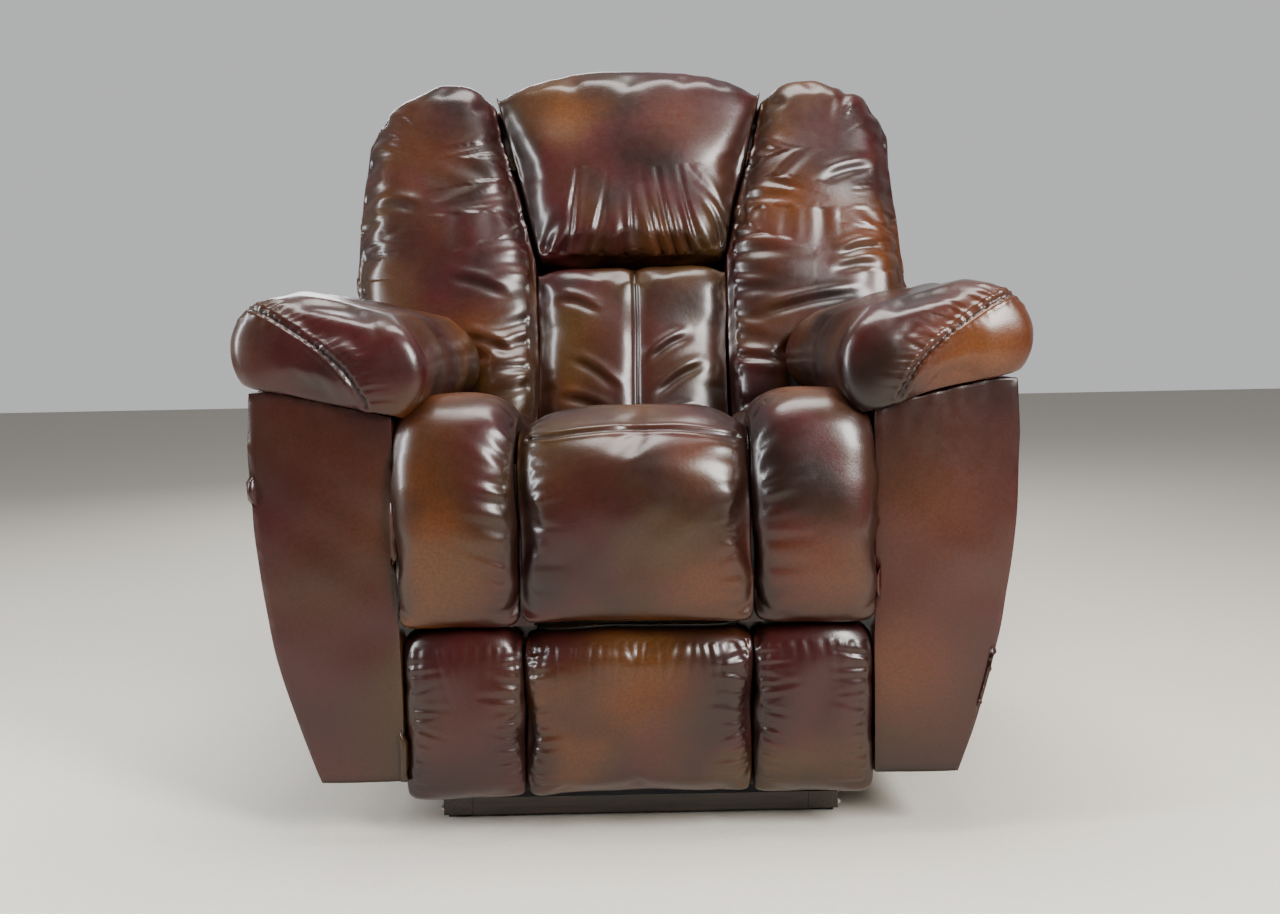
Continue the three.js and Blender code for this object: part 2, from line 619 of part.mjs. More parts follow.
// The outside of the back: a rear panel whose rim comes forward round the frame above the arms.
function addBackCover() {
  const foot = BACK_FOOT - BACK_TAIL;
  const wing = armInner + 164;
  const rim = [
    [wing + 8, 260], [wing + 18, 345], [wing + 13, 436], [wing + 4, 531], [wing - 6, 608],
    [wing - 26, 652], [wing - 58, 684], [wing - 118, 700], [wing - 230, BACK_CROWN - 14],
    [wing - 360, BACK_CROWN],
  ];
  const bothSides = (half) => [...half, ...half.map(([x, z]) => [-x, z]).reverse()];
  const outline = bothSides([[lowerHalf, foot], [lowerHalf, WING_FOOT], [wing, WING_FOOT + 3], ...rim]);
  const hollow = bothSides([
    [lowerHalf + 40, foot - 10], [lowerHalf + 40, WING_FOOT + COVER_WALL],
    [wing - COVER_WALL, WING_FOOT + COVER_WALL],
    ...rim.map(([x, z]) => [x - COVER_WALL, z - (COVER_WALL * z) / BACK_CROWN]),
  ]);
  addPart('back_cover', cut(
    alongY(shapeOf(outline), padRear + 1, coverRear, 8),
    alongY(shapeOf(hollow), padRear - 20, coverFront)), LEATHER, glossy, back);
}

// ---------------------------------------------------------------- footrest

function addFootrest() {
  const padFront = seatFront + SHIN_SETBACK;
  const top = skirtBottom - SHIN_CLEARANCE;
  const half = layers[4] - STEEL - GAP - 1.5;
  addPart('footrest_board',
    block(-half, half, boardRear - BOARD_THICKNESS, boardRear, SHIN_BOTTOM + 15, top - 7), PLYWOOD, matte);
  const rear = padFront + SHIN_DEPTH;
  const outline = new THREE.Shape();
  outline.moveTo(rear, SHIN_BOTTOM + 8);
  outline.lineTo(rear, top - 2);
  outline.lineTo(padFront + 30, top);
  outline.quadraticCurveTo(padFront, top - 5, padFront, top - 60);
  outline.lineTo(padFront, SHIN_BOTTOM + 50);
  outline.quadraticCurveTo(padFront + 2, SHIN_BOTTOM, padFront + 35, SHIN_BOTTOM);
  const centre = CENTRE_PAD_WIDTH / 2;
  addPart('centre_footrest_pad', alongX(outline, -centre, centre, 1, 12, 5), LEATHER, glossy);
  for (const [name, side] of SIDES) {
    addPart(`${name}_footrest_pad`,
      alongX(outline, centre + PAD_GAP, softHalf, side, 12, 5), LEATHER, glossy);
  }
}

// An angle bracket on the board's rear face, with the pin that the front link turns on.
function addFootrestBrackets() {
  const inner = layers[4] - STEEL;
  const face = boardRear + GAP;
  const web = shapeOf([
    [face, ankle.z - 30], [face, boardLinkEnd.z + 15], [boardLinkEnd.y + 12, boardLinkEnd.z + 12],
    [ankle.y + 12, ankle.z + 8], [ankle.y + 10, ankle.z - 14],
  ]);
  for (const [name, side] of SIDES) {
    const plate = alongX(web, inner, layers[4], side);
    const flange = block(
      side * (inner - 30), side * layers[4], face, face + 3, ankle.z - 30, boardLinkEnd.z + 15);
    const pin = rodAlongX(ankle, PIN, side * (layers[4] - 1), side * layers[2]);
    addPart(`${name}_footrest_bracket`, join(plate, flange, pin), BLACK_STEEL, metal);
  }
}

// ---------------------------------------------------------------- footrest links

// A flat bar with round ends between two points, in one of the layers counted from the arm.
function bar(from, to, layer, side) {
  const radius = LINK_WIDTH / 2;
  const angle = Math.atan2(to.z - from.z, to.y - from.y);
  const shape = new THREE.Shape();
  shape.absarc(from.y, from.z, radius, angle + Math.PI / 2, angle + (3 * Math.PI) / 2, false);
  shape.absarc(to.y, to.z, radius, angle - Math.PI / 2, angle + Math.PI / 2, false);
  return alongX(shape, layers[layer] - STEEL, layers[layer], side, 0, 8);
}

function drill(at, layer, side) {
  return rodAlongX(at, PIN_HOLE, side * (layers[layer] - STEEL - 3), side * (layers[layer] + 3));
}

function pinBetween(at, x0, x1, side) {
  return rodAlongX(at, PIN, side * x0, side * x1);
}

function addLinks(name, side) {
  const rear = join(
    bar(knee, rearPivot, 1, side),
    pinBetween(rearPivot, layers[1] - 1, plateOuter, side),
    pinBetween(knee, layers[2] - STEEL, layers[1] - 1, side),
    pinBetween(boardLinkPivot, layers[3] - STEEL, layers[1] - 1, side));
  addPart(`${name}_rear_link`, rear, BRIGHT_STEEL, metal);
  const front = join(bar(knee, ankle, 2, side), bar(knee, controlEnd, 2, side));
  addPart(`${name}_front_link`,
    cut(front, drill(knee, 2, side), drill(ankle, 2, side), drill(controlEnd, 2, side)),
    BRIGHT_STEEL, metal);
  const control = join(
    cut(bar(controlPivot, controlEnd, 3, side), drill(controlEnd, 3, side)),
    pinBetween(controlPivot, layers[3] - 1, plateOuter, side));
  addPart(`${name}_control_link`, control, BRIGHT_STEEL, metal);
  addPart(`${name}_board_link`,
    cut(bar(boardLinkPivot, boardLinkEnd, 3, side), drill(boardLinkPivot, 3, side),
      drill(boardLinkEnd, 3, side)),
    BRIGHT_STEEL, metal);
}

// ---------------------------------------------------------------- assembly

addBase();
addRockerSprings();
addRockerCams();
addCrossTubes();
addMechanismPlates();
for (const [name, side] of SIDES) {
  addArm(name, side);
  addArmPad(name, side);
}
addHandle();
addSeatFrame();
addSeatSprings();
addSeatPads();
addBackFrame();
addBackBrackets();
addBackPads();
addBackCover();
addFootrest();
addFootrestBrackets();
for (const [name, side] of SIDES) {
  addLinks(name, side);
}

export default chair;
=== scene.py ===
import json
import math

import bmesh
import bpy
import numpy as np
from mathutils import Matrix, Vector
from mathutils.bvhtree import BVHTree
from mathutils.kdtree import KDTree


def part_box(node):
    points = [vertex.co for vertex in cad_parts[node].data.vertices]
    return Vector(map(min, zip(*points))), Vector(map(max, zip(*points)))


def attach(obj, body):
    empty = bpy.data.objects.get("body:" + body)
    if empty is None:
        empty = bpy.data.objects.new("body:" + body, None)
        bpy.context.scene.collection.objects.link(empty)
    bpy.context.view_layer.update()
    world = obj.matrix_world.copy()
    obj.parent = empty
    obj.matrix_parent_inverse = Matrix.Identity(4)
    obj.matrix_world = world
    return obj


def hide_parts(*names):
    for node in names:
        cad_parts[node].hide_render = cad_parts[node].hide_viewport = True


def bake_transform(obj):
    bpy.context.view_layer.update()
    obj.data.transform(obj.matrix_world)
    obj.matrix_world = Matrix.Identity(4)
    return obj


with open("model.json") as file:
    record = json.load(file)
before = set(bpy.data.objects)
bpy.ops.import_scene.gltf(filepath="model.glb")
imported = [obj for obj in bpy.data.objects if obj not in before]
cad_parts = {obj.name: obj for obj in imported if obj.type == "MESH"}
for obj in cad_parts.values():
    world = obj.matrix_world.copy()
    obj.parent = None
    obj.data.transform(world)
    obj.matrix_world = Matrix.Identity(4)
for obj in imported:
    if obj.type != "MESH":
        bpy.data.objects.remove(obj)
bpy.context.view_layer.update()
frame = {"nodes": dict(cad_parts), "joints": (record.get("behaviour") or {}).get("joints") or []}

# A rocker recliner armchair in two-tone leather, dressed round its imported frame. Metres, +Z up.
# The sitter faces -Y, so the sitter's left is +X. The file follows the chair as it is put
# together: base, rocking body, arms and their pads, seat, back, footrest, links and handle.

SIDES = (("left", 1), ("right", -1))


# ------------------------------------------------------------------ camera
# A plain lens a metre and a half in front of the seat, at the height of the arm pads. It looks down
# a little and leans slightly, as a hand-held camera does.

EYE = (0.005, -1.934, 0.672)
FOCAL_LENGTH = 33.75
LOOK_ASIDE = math.radians(-0.1)
LOOK_DOWN = math.radians(6.2)
LEAN = math.radians(1.1)

lens = bpy.data.cameras.new("camera")
lens.lens = FOCAL_LENGTH
camera = bpy.data.objects.new("camera", lens)
camera.matrix_world = (
    Matrix.Translation(EYE)
    @ Matrix.Rotation(LOOK_ASIDE, 4, "Z")
    @ Matrix.Rotation(math.pi / 2 - LOOK_DOWN, 4, "X")
    @ Matrix.Rotation(-LEAN, 4, "Z"))
bpy.context.scene.collection.objects.link(camera)
bpy.context.scene.camera = camera


# ------------------------------------------------------------------ studio
# A pale floor in a room that is pale behind the chair and dim in front of it, for the leather to
# mirror. A panel like a window stands to the front right, a narrow one to the left, a soft one above
# and one behind.

class Wire:
    """A node's socket. Sums and products of wires add Math nodes, and make() adds any other node."""

    def __init__(self, socket):
        self.socket = socket

    def make(self, kind, values=None, out=0, stops=None, **settings):
        """A node's output, after its settings, a ramp's stops and its sockets' values are set."""
        node = self.socket.id_data.nodes.new(kind)
        for name, value in settings.items():
            setattr(node, name, value)
        if stops:
            ramp = node.color_ramp
            while len(ramp.elements) < len(stops):
                ramp.elements.new(0.5)
            for element, (place, colour) in zip(ramp.elements, stops):
                element.position = place
                element.color = (*colour, 1)
        for key, value in (values or {}).items():
            if isinstance(value, Wire):
                self.socket.id_data.links.new(value.socket, node.inputs[key])
            else:
                node.inputs[key].default_value = value
        return Wire(node.outputs[out])

    def maths(self, operation, *values, **settings):
        return self.make("ShaderNodeMath", dict(enumerate(values)), operation=operation, **settings)

    def __add__(self, other):
        return self.maths("ADD", self, other)

    def __sub__(self, other):
        return self.maths("SUBTRACT", self, other)

    def __rsub__(self, other):
        return self.maths("SUBTRACT", other, self)

    def __mul__(self, other):
        return self.maths("MULTIPLY", self, other)

    __radd__ = __add__
    __rmul__ = __mul__

    def kept(self):
        """The value held between 0 and 1."""
        return self.maths("ADD", self, 0.0, use_clamp=True)

    def step(self, low, high):
        """0 below low, 1 above high, and smooth between."""
        return self.make("ShaderNodeMapRange", {0: self, 1: low, 2: high},
                         interpolation_type="SMOOTHSTEP")

    def mix(self, below, above):
        """Colour below where the wire is 0, and colour above where it is 1."""
        pair = [c if isinstance(c, Wire) else (*c, 1) for c in (below, above)]
        return self.make("ShaderNodeMix", {0: self, 6: pair[0], 7: pair[1]}, out=2, data_type="RGBA")

    def shifted(self, offset):
        return self.make("ShaderNodeVectorMath", {0: self, 1: offset}, operation="ADD")

    def scaled(self, factors):
        return self.make("ShaderNodeVectorMath", {0: self, 1: factors}, operation="MULTIPLY")

    def noise(self, scale, detail=2.0, roughness=0.5):
        return self.make("ShaderNodeTexNoise", {
            "Vector": self, "Scale": scale, "Detail": detail, "Roughness": roughness})


def material(name, **constants):
    """A new material, its surface shader, and the place on the piece as a wire."""
    made = bpy.data.materials.new(name)
    made.use_nodes = True
    shader = made.node_tree.nodes["Principled BSDF"]
    for key, value in constants.items():
        shader.inputs[key.replace("_", " ")].default_value = value
    start = Wire(shader.outputs[0])
    return made, shader, start.make("ShaderNodeTexCoord", out=3)


def paint(shader, **wires):
    for key, value in wires.items():
        shader.id_data.links.new(value.socket, shader.inputs[key.replace("_", " ")])


def bump(place, height, distance, strength=1.0):
    return place.make("ShaderNodeBump", {"Height": height, "Distance": distance, "Strength": strength})


def add_mesh(name, points, faces):
    mesh = bpy.data.meshes.new(name)
    mesh.from_pydata([tuple(p) for p in points], [], faces)
    piece = bpy.data.objects.new(name, mesh)
    bpy.context.scene.collection.objects.link(piece)
    return piece


FLOOR_HALF = 9.0
floor = add_mesh("floor", [(x * FLOOR_HALF, y * FLOOR_HALF, 0)
                           for x, y in ((-1, -1), (1, -1), (1, 1), (-1, 1))], [(0, 1, 2, 3)])
carpet, shader, place = material("studio_floor", Roughness=0.95)
paint(shader, Base_Color=place.noise(90, 6, 0.7).mix((0.50, 0.47, 0.41), (0.62, 0.59, 0.53)))
floor.data.materials.append(carpet)

sky = bpy.data.worlds.new("studio")
bpy.context.scene.world = sky
sky.use_nodes = True
background = sky.node_tree.nodes["Background"]
ahead = Wire(background.outputs[0]).make("ShaderNodeTexCoord", out=0)
ahead = ahead.make("ShaderNodeSeparateXYZ", {0: ahead}, out=1)
room = ahead.step(-0.35, 0.25).mix((0.16, 0.14, 0.12), (0.93, 0.94, 0.96))
sky.node_tree.links.new(room.socket, background.inputs["Color"])
background.inputs["Strength"].default_value = 0.62

LAMPS = (
    # name, place, point it faces, width, height, watts, colour
    ("window_panel", (1.55, -2.0, 1.75), (0.1, -0.2, 0.55), 0.75, 1.1, 150, (1.0, 0.98, 0.95)),
    ("side_panel", (-2.2, -1.0, 1.3), (-0.2, -0.2, 0.55), 0.35, 1.4, 75, (0.95, 0.97, 1.0)),
    ("ceiling_panel", (0.1, -0.3, 2.8), (0.0, 0.0, 0.4), 1.5, 1.0, 90, (1.0, 0.97, 0.93)),
    ("rear_panel", (-0.8, 2.6, 2.1), (0.0, 0.2, 0.6), 1.6, 1.2, 50, (1.0, 1.0, 1.0)),
)
for name, at, target, width, height, watts, colour in LAMPS:
    light = bpy.data.lights.new(name, "AREA")
    light.shape = "RECTANGLE"
    light.size = width
    light.size_y = height
    light.energy = watts
    light.color = colour
    lamp = bpy.data.objects.new(name, light)
    lamp.location = at
    lamp.rotation_euler = (Vector(target) - Vector(at)).to_track_quat("-Z", "Y").to_euler()
    bpy.context.scene.collection.objects.link(lamp)


# ------------------------------------------------------------------ base
# Two stained hardwood runners with front and rear rails between them, standing on long nylon glides.
# Two screws with washers hold each end of a rail.

def dress(finish, *nodes):
    """Gives CAD nodes a finished material."""
    for node in nodes:
        slots = frame["nodes"][node].data.materials
        slots.clear()
        slots.append(finish)


def both(name):
    return tuple(f"{side}_{name}" for side, _ in SIDES)


def stained(name, along):
    """Hardwood under dark stain and a thin varnish, with the grain running along an axis."""
    made, shader, place = material(name, Coat_Weight=0.25, Coat_Roughness=0.3)
    stretch = [60, 60, 60]
    stretch[along] = 4
    grain = place.scaled(tuple(stretch)).noise(3.0, 8, 0.6)
    paint(shader,
          Base_Color=grain.step(0.35, 0.7).mix((0.010, 0.007, 0.006), (0.050, 0.026, 0.016)),
          Roughness=grain * 0.25 + 0.38,
          Normal=bump(place, grain, 0.0006, 0.5))
    return made


stained_wood = stained("stained_base_wood", 1)
cross_stained = stained("stained_rail_wood", 0)
dress(stained_wood, *both("base_runner"))
dress(cross_stained, "front_base_rail", "rear_base_rail")

nylon, shader, place = material("glide_nylon", Specular_IOR_Level=0.4)
scuffs = place.scaled((30, 3, 30)).noise(6.0, 6, 0.7)
paint(shader,
      Base_Color=scuffs.step(0.5, 0.75).mix((0.012, 0.012, 0.013), (0.045, 0.044, 0.043)),
      Roughness=scuffs * 0.3 + 0.4,
      Normal=bump(place, scuffs, 0.0004, 0.4))
dress(nylon, *both("base_glide"))

screw_steel, shader, place = material("zinc_plate", Metallic=1.0)
stain = place.noise(140, 4, 0.6)
paint(shader,
      Base_Color=stain.step(0.4, 0.7).mix((0.46, 0.44, 0.38), (0.62, 0.60, 0.55)),
      Roughness=stain * 0.3 + 0.22,
      Normal=bump(place, stain, 0.0002, 0.3))


def planting_tree(name, sizes, shape):
    """A geometry tree that plants a shape on every point, facing the point's own way."""
    tree = bpy.data.node_groups.new(name, "GeometryNodeTree")
    sockets = tree.interface
    sockets.new_socket(name="Points", in_out="INPUT", socket_type="NodeSocketGeometry")
    for label, size in sizes.items():
        socket = sockets.new_socket(name=label, in_out="INPUT", socket_type="NodeSocketFloat")
        socket.default_value = size
    sockets.new_socket(name="Finish", in_out="INPUT", socket_type="NodeSocketMaterial")
    sockets.new_socket(name="Planted", in_out="OUTPUT", socket_type="NodeSocketGeometry")
    inputs = list(tree.nodes.new("NodeGroupInput").outputs)[:-1]
    points, *lengths, finish = (Wire(end) for end in inputs)
    way = points.make("GeometryNodeInputNamedAttribute", {"Name": "facing"},
                      data_type="FLOAT_VECTOR")
    planted = points.make("GeometryNodeInstanceOnPoints", {
        "Points": points,
        "Instance": shape(points, *lengths),
        "Rotation": points.make("FunctionNodeAlignRotationToVector", {"Vector": way}, axis="Z")})
    real = points.make("GeometryNodeRealizeInstances", {"Geometry": planted})
    done = points.make("GeometryNodeSetMaterial", {"Geometry": real, "Material": finish})
    tree.links.new(done.socket, tree.nodes.new("NodeGroupOutput").inputs[0])
    return tree


def screw_shape(start, radius, height):
    """A washer under a six-sided head."""
    washer = start.make("GeometryNodeMeshCylinder", {
        "Vertices": 20, "Radius": radius * 1.7, "Depth": height * 0.35})
    head = start.make("GeometryNodeMeshCylinder", {"Vertices": 6, "Radius": radius, "Depth": height})
    lifted = start.make("GeometryNodeTransform", {
        "Geometry": head, "Translation": start.make("ShaderNodeCombineXYZ", {"Z": height * 0.65})})
    screw = start.make("GeometryNodeJoinGeometry", {0: washer})
    screw.socket.id_data.links.new(lifted.socket, screw.socket.node.inputs[0])
    return screw


def settle(piece):
    """Makes the piece's evaluated shape its mesh, and takes its modifiers off."""
    view = bpy.context.evaluated_depsgraph_get()
    view.update()
    mesh = bpy.data.meshes.new_from_object(piece.evaluated_get(view))
    piece.modifiers.clear()
    piece.data = mesh
    return piece


def grown(piece, tree, **sizes):
    """Runs a geometry tree on the piece and keeps the plain mesh that it makes."""
    modifier = piece.modifiers.new("grow", "NODES")
    modifier.node_group = tree
    for item in tree.interface.items_tree:
        if item.in_out == "INPUT" and item.name in sizes:
            modifier[item.identifier] = sizes[item.name]
    return settle(piece)


def plant(name, places, tree, body, slot, **sizes):
    """Grows a tree's shape at (point, facing) places, as one piece that rides on a body."""
    piece = add_mesh(name, [p for p, _ in places], [])
    facing = piece.data.attributes.new("facing", "FLOAT_VECTOR", "POINT")
    facing.data.foreach_set("vector", [c for _, way in places for c in way])
    grown(piece, tree, **sizes)
    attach(piece, body)


RAIL_SCREW = {"Radius": 0.0035, "Height": 0.003}
SCREW_LIFT = 0.0006
RUNNER_OUT = 0.272
RAIL_PLACES = (-0.324, 0.216)
SCREW_PAIR = ((-0.008, 0.014), (0.008, 0.023))
screws = planting_tree("screws", RAIL_SCREW, screw_shape)
runner_screws = [((side * (RUNNER_OUT + SCREW_LIFT), y + along, z), (side, 0, 0))
                 for _, side in SIDES for y in RAIL_PLACES for along, z in SCREW_PAIR]
plant("base_rail_screws", runner_screws, screws, "base", "spring_steel",
      Finish=screw_steel, **RAIL_SCREW)


# ------------------------------------------------------------------ rocking body
# Plywood cams carry two square steel tubes with a stamped plate at each end, and the plywood frames
# of the arms. Rear coil springs, which bend as the chair rocks, stand fixed between base and body.

PLY_PAIR = 0.0042


def plywood(name, across, along):
    """Laminated wood: pale plies stacked across, with the grain running along."""
    made, shader, place = material(name, Coat_Weight=0.05)
    stretch = [8.0, 8.0, 8.0]
    stretch[along] = 1.0
    grain = place.scaled(tuple(9 * s for s in stretch)).noise(2.0, 8, 0.65)
    height = place.make("ShaderNodeSeparateXYZ", {0: place}, out=across)
    plies = height.maths("SINE", height * (2 * math.pi / PLY_PAIR))
    normal = place.make("ShaderNodeNewGeometry", out=1)
    facing = place.make("ShaderNodeSeparateXYZ", {0: normal}, out=across)
    flat = facing.maths("ABSOLUTE", facing)
    ply_mask = (1 - flat.step(0.5, 0.8)) * plies.step(0.2, 0.9)
    wood = grain.step(0.3, 0.75).mix((0.42, 0.26, 0.13), (0.62, 0.44, 0.25))
    paint(shader,
          Base_Color=(ply_mask * 0.75).mix(wood, (0.20, 0.11, 0.05)),
          Roughness=grain * 0.2 + 0.5,
          Normal=bump(place, grain, 0.0005, 0.35))
    return made


ply_side = plywood("plywood_side", 0, 1)
ply_face = plywood("plywood_face", 1, 0)
dress(ply_side, *both("rocker_cam"), *both("arm_frame"))

black_steel, shader, place = material("black_painted_steel", Metallic=0.35, Coat_Weight=0.2)
wear = place.noise(45, 8, 0.65)
paint(shader,
      Base_Color=wear.step(0.62, 0.78).mix((0.014, 0.014, 0.015), (0.10, 0.095, 0.09)),
      Roughness=wear * 0.35 + 0.25,
      Normal=bump(place, place.noise(600, 2, 0.5), 0.00015, 0.5))
dress(black_steel, "front_cross_tube", "rear_cross_tube", *both("mechanism_plate"))
dress(cross_stained, "front_body_rail")

spring_wire, shader, place = material("spring_wire", Metallic=1.0)
oil = place.noise(120, 5, 0.6)
paint(shader,
      Base_Color=oil.step(0.35, 0.7).mix((0.20, 0.19, 0.18), (0.44, 0.43, 0.41)),
      Roughness=oil * 0.3 + 0.25,
      Normal=bump(place, oil, 0.0002, 0.3))


def add_tube(name, path, radius, sides=10, closed=False):
    """A tube of round section along points, its ends closed."""
    curve = bpy.data.curves.new(name, "CURVE")
    curve.dimensions = "3D"
    curve.bevel_depth = radius
    curve.bevel_resolution = max(1, sides // 4 - 1)
    curve.use_fill_caps = True
    line = curve.splines.new("POLY")
    line.points.add(len(path) - 1)
    line.points.foreach_set("co", [c for p in path for c in (*p, 1.0)])
    line.use_cyclic_u = closed
    piece = bpy.data.objects.new(name, curve)
    bpy.context.scene.collection.objects.link(piece)
    view = bpy.context.evaluated_depsgraph_get()
    mesh = bpy.data.meshes.new_from_object(piece.evaluated_get(view))
    bpy.data.objects.remove(piece)
    tube = bpy.data.objects.new(name, mesh)
    bpy.context.scene.collection.objects.link(tube)
    mesh.shade_smooth()
    return tube


def finish_piece(piece, finish, body, slot, *stands_for):
    """The last steps of a piece: its material, the body it rides on, and what it stands for."""
    piece.data.materials.clear()
    piece.data.materials.append(finish)
    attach(piece, body)
    if stands_for:
        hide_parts(*stands_for)
    return piece


COIL_WIRE = 0.003
COIL_TURNS = 5
FLAT_TURNS = 0.75
TURN_STEPS = 40
for name, _ in SIDES:
    low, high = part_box(f"{name}_rocker_spring")
    centre = (low + high) / 2
    coil = (high.x - low.x) / 2 - COIL_WIRE
    path = []
    for step in range(TURN_STEPS * COIL_TURNS + 1):
        turn = step / TURN_STEPS
        angle = 2 * math.pi * turn
        rise = min(max(turn - FLAT_TURNS, 0) / (COIL_TURNS - 2 * FLAT_TURNS), 1)
        path.append((centre.x + coil * math.cos(angle), centre.y + coil * math.sin(angle),
                     low.z + COIL_WIRE + rise * (high.z - low.z - 2 * COIL_WIRE)))
    spring = add_tube(f"{name}_coil_spring", path, COIL_WIRE)
    spring.data.materials.append(spring_wire)
    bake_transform(spring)
    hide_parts(f"{name}_rocker_spring")

CAM_INSIDE = 0.232
CAM_SCREW_HIGH = 0.108
CAM_SCREW_PLACES = (-0.10, 0.10, 0.15)
cam_screws = [((side * (CAM_INSIDE - SCREW_LIFT), y, CAM_SCREW_HIGH), (-side, 0, 0))
              for _, side in SIDES for y in CAM_SCREW_PLACES]
plant("cam_screws", cam_screws, screws, "chair_body", "spring_steel",
      Finish=screw_steel, Radius=0.005, Height=0.004)


# ------------------------------------------------------------------ arms
# Each arm is a hollow plywood box under padded leather. It is narrow at the floor and flares to the
# arm pad. A welt runs down each edge of its front. Staples under the bottom edge, out of sight, hold
# the leather.

CHOCOLATE = (0.0085, 0.0030, 0.0022)
OXBLOOD = (0.034, 0.0042, 0.0046)
CHESTNUT = (0.038, 0.0125, 0.0036)
AMBER = (0.098, 0.0270, 0.0040)
OLIVE = (0.042, 0.0215, 0.0044)
# The colour in seam grooves and wrinkle valleys: partly dark glaze, partly painted shade.
CREASE_GLAZE_AND_SHADE = (0.004, 0.002, 0.0016)


def leather(name, drift, warmth=0.0, spread=1.0):
    """Two-tone leather: a dark glaze over blurred patches of red, chestnut, amber and olive.
    It is darker in the creases, partly from glaze and partly from painted shade, and painted shade
    darkens it where it turns into the channels between the pads. It has a fine pebble grain. drift moves
    the patches and spread widens them."""
    made, shader, place = material(name, Coat_Weight=0.28, Coat_Roughness=0.2, Specular_IOR_Level=0.3)
    here = place.shifted(drift)
    cloud = here.noise(5.4 / spread, 1.5, 0.45)
    base = cloud.make("ShaderNodeValToRGB", {0: cloud + warmth}, stops=(
        (0.36, CHOCOLATE), (0.47, OXBLOOD), (0.57, CHESTNUT), (0.74, AMBER)))
    green = here.shifted((3.1, 1.7, 5.3)).noise(4.6 / spread, 1.0, 0.4).step(0.50, 0.66)
    red = here.shifted((7.7, 2.9, 1.1)).noise(5.1 / spread, 1.0, 0.4).step(0.52, 0.68)
    glaze = here.shifted((1.3, 8.2, 4.6)).noise(6.8 / spread, 2.0, 0.5).step(0.44, 0.66)
    crease, amber, ruby, shade = (
        place.make("ShaderNodeAttribute", out=2, attribute_name=kind)
        for kind in ("crease", "amber", "ruby", "shade"))
    tone = (green * 0.7).mix(base, OLIVE)
    tone = (red * 0.5).mix(tone, OXBLOOD)
    tone = (glaze * 0.75).mix(tone, CHOCOLATE)
    tone = ruby.kept().mix(tone, OXBLOOD)
    tone = amber.kept().mix(tone, AMBER)
    # Painted shade where the leather turns sideways into a channel between the pads.
    tone = shade.kept().mix(tone, CHOCOLATE)
    # Darker in seam grooves and wrinkle valleys: partly glaze, partly painted shade.
    tone = (crease.kept() * 0.9).mix(tone, CREASE_GLAZE_AND_SHADE)
    speck = place.noise(260, 3, 0.6)
    tone = (speck.step(0.35, 0.65) * 0.3).mix(tone, CHOCOLATE)
    pebble = place.make("ShaderNodeTexVoronoi", {
        "Vector": place, "Scale": 430.0, "Smoothness": 0.6}, feature="SMOOTH_F1")
    lines = place.noise(70, 6, 0.6)
    paint(shader,
          Base_Color=tone,
          Roughness=(lines * 0.16 + crease.kept() * 0.2 + 0.26).kept(),
          Normal=bump(place, pebble * 0.14 + lines * 0.8, 0.0012, 0.35))
    return made


body_leather = leather("arm_leather", (0.35, 0.1, 0.7), 0.0, 1.8)

(ARM_IN, ARM_FRONT, ARM_LOW), (ARM_OUT, ARM_REAR, ARM_HIGH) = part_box("left_arm_cover")
ARM_FOOT = 0.109
ARM_SHOULDER = 0.538
FLARE_DROP = 0.04
ARM_TUCK = 0.006
TUCK_HEIGHT = 0.07
ARM_CORNER = ARM_OUT - ARM_TUCK
PAD_CLEARANCE = 0.0012
RECLINE_PIVOT = Vector(next(j for j in frame["joints"] if j["name"] == "recline")["pos_m"])
ARM_ROUND = 0.178
ARM_TAIL = 0.162
TAIL_SLOPE = 1.683
PAD_SLOPE = 28.5 / 124


def arm_side(z):
    """How far out the arm's side is at a height z, on the curve from its foot to its shoulder."""
    middle = (ARM_LOW + ARM_SHOULDER) / 2 - FLARE_DROP
    a = ARM_LOW - 2 * middle + ARM_SHOULDER
    b = 2 * (middle - ARM_LOW)
    c = ARM_LOW - min(z, ARM_SHOULDER)
    t = (-b + math.sqrt(max(b * b - 4 * a * c, 0))) / (2 * a)
    return ARM_OUT - (1 - t) ** 2 * (ARM_OUT - ARM_IN - ARM_FOOT)


def arm_top(x, y):
    """The arm's top at a place: it slopes under the pad, and its rear corner is round."""
    under_pad = ARM_HIGH - PAD_CLEARANCE - (ARM_CORNER - x) * PAD_SLOPE
    back = max(0, y - RECLINE_PIVOT.y)
    if back < ARM_TAIL:
        return min(under_pad, RECLINE_PIVOT.z + math.sqrt(ARM_ROUND ** 2 - back ** 2))
    tail_top = math.sqrt(ARM_ROUND ** 2 - ARM_TAIL ** 2)
    return RECLINE_PIVOT.z + tail_top - (back - ARM_TAIL) * TAIL_SLOPE


def arm_outside(z, top):
    """The outer side again, eased in under the pad, where the leather is pulled over."""
    return min(arm_side(z), ARM_CORNER + ARM_TUCK * min(1, (top - z) / TUCK_HEIGHT))


def grid_faces(rows, columns, start=0):
    """Quads over a grid of points."""
    corners = [start + i * columns + j for i in range(rows - 1) for j in range(columns - 1)]
    return [(a, a + 1, a + columns + 1, a + columns) for a in corners]


def mended(piece, distance=0.0002):
    """Merges points that meet, and turns every face outwards."""
    work = bmesh.new()
    work.from_mesh(piece.data)
    bmesh.ops.remove_doubles(work, verts=work.verts, dist=distance)
    bmesh.ops.recalc_face_normals(work, faces=work.faces)
    work.to_mesh(piece.data)
    work.free()
    return piece


RAY_START = 0.4
LUMP_WAVES = 14
LUMP_SPREAD = 3.7


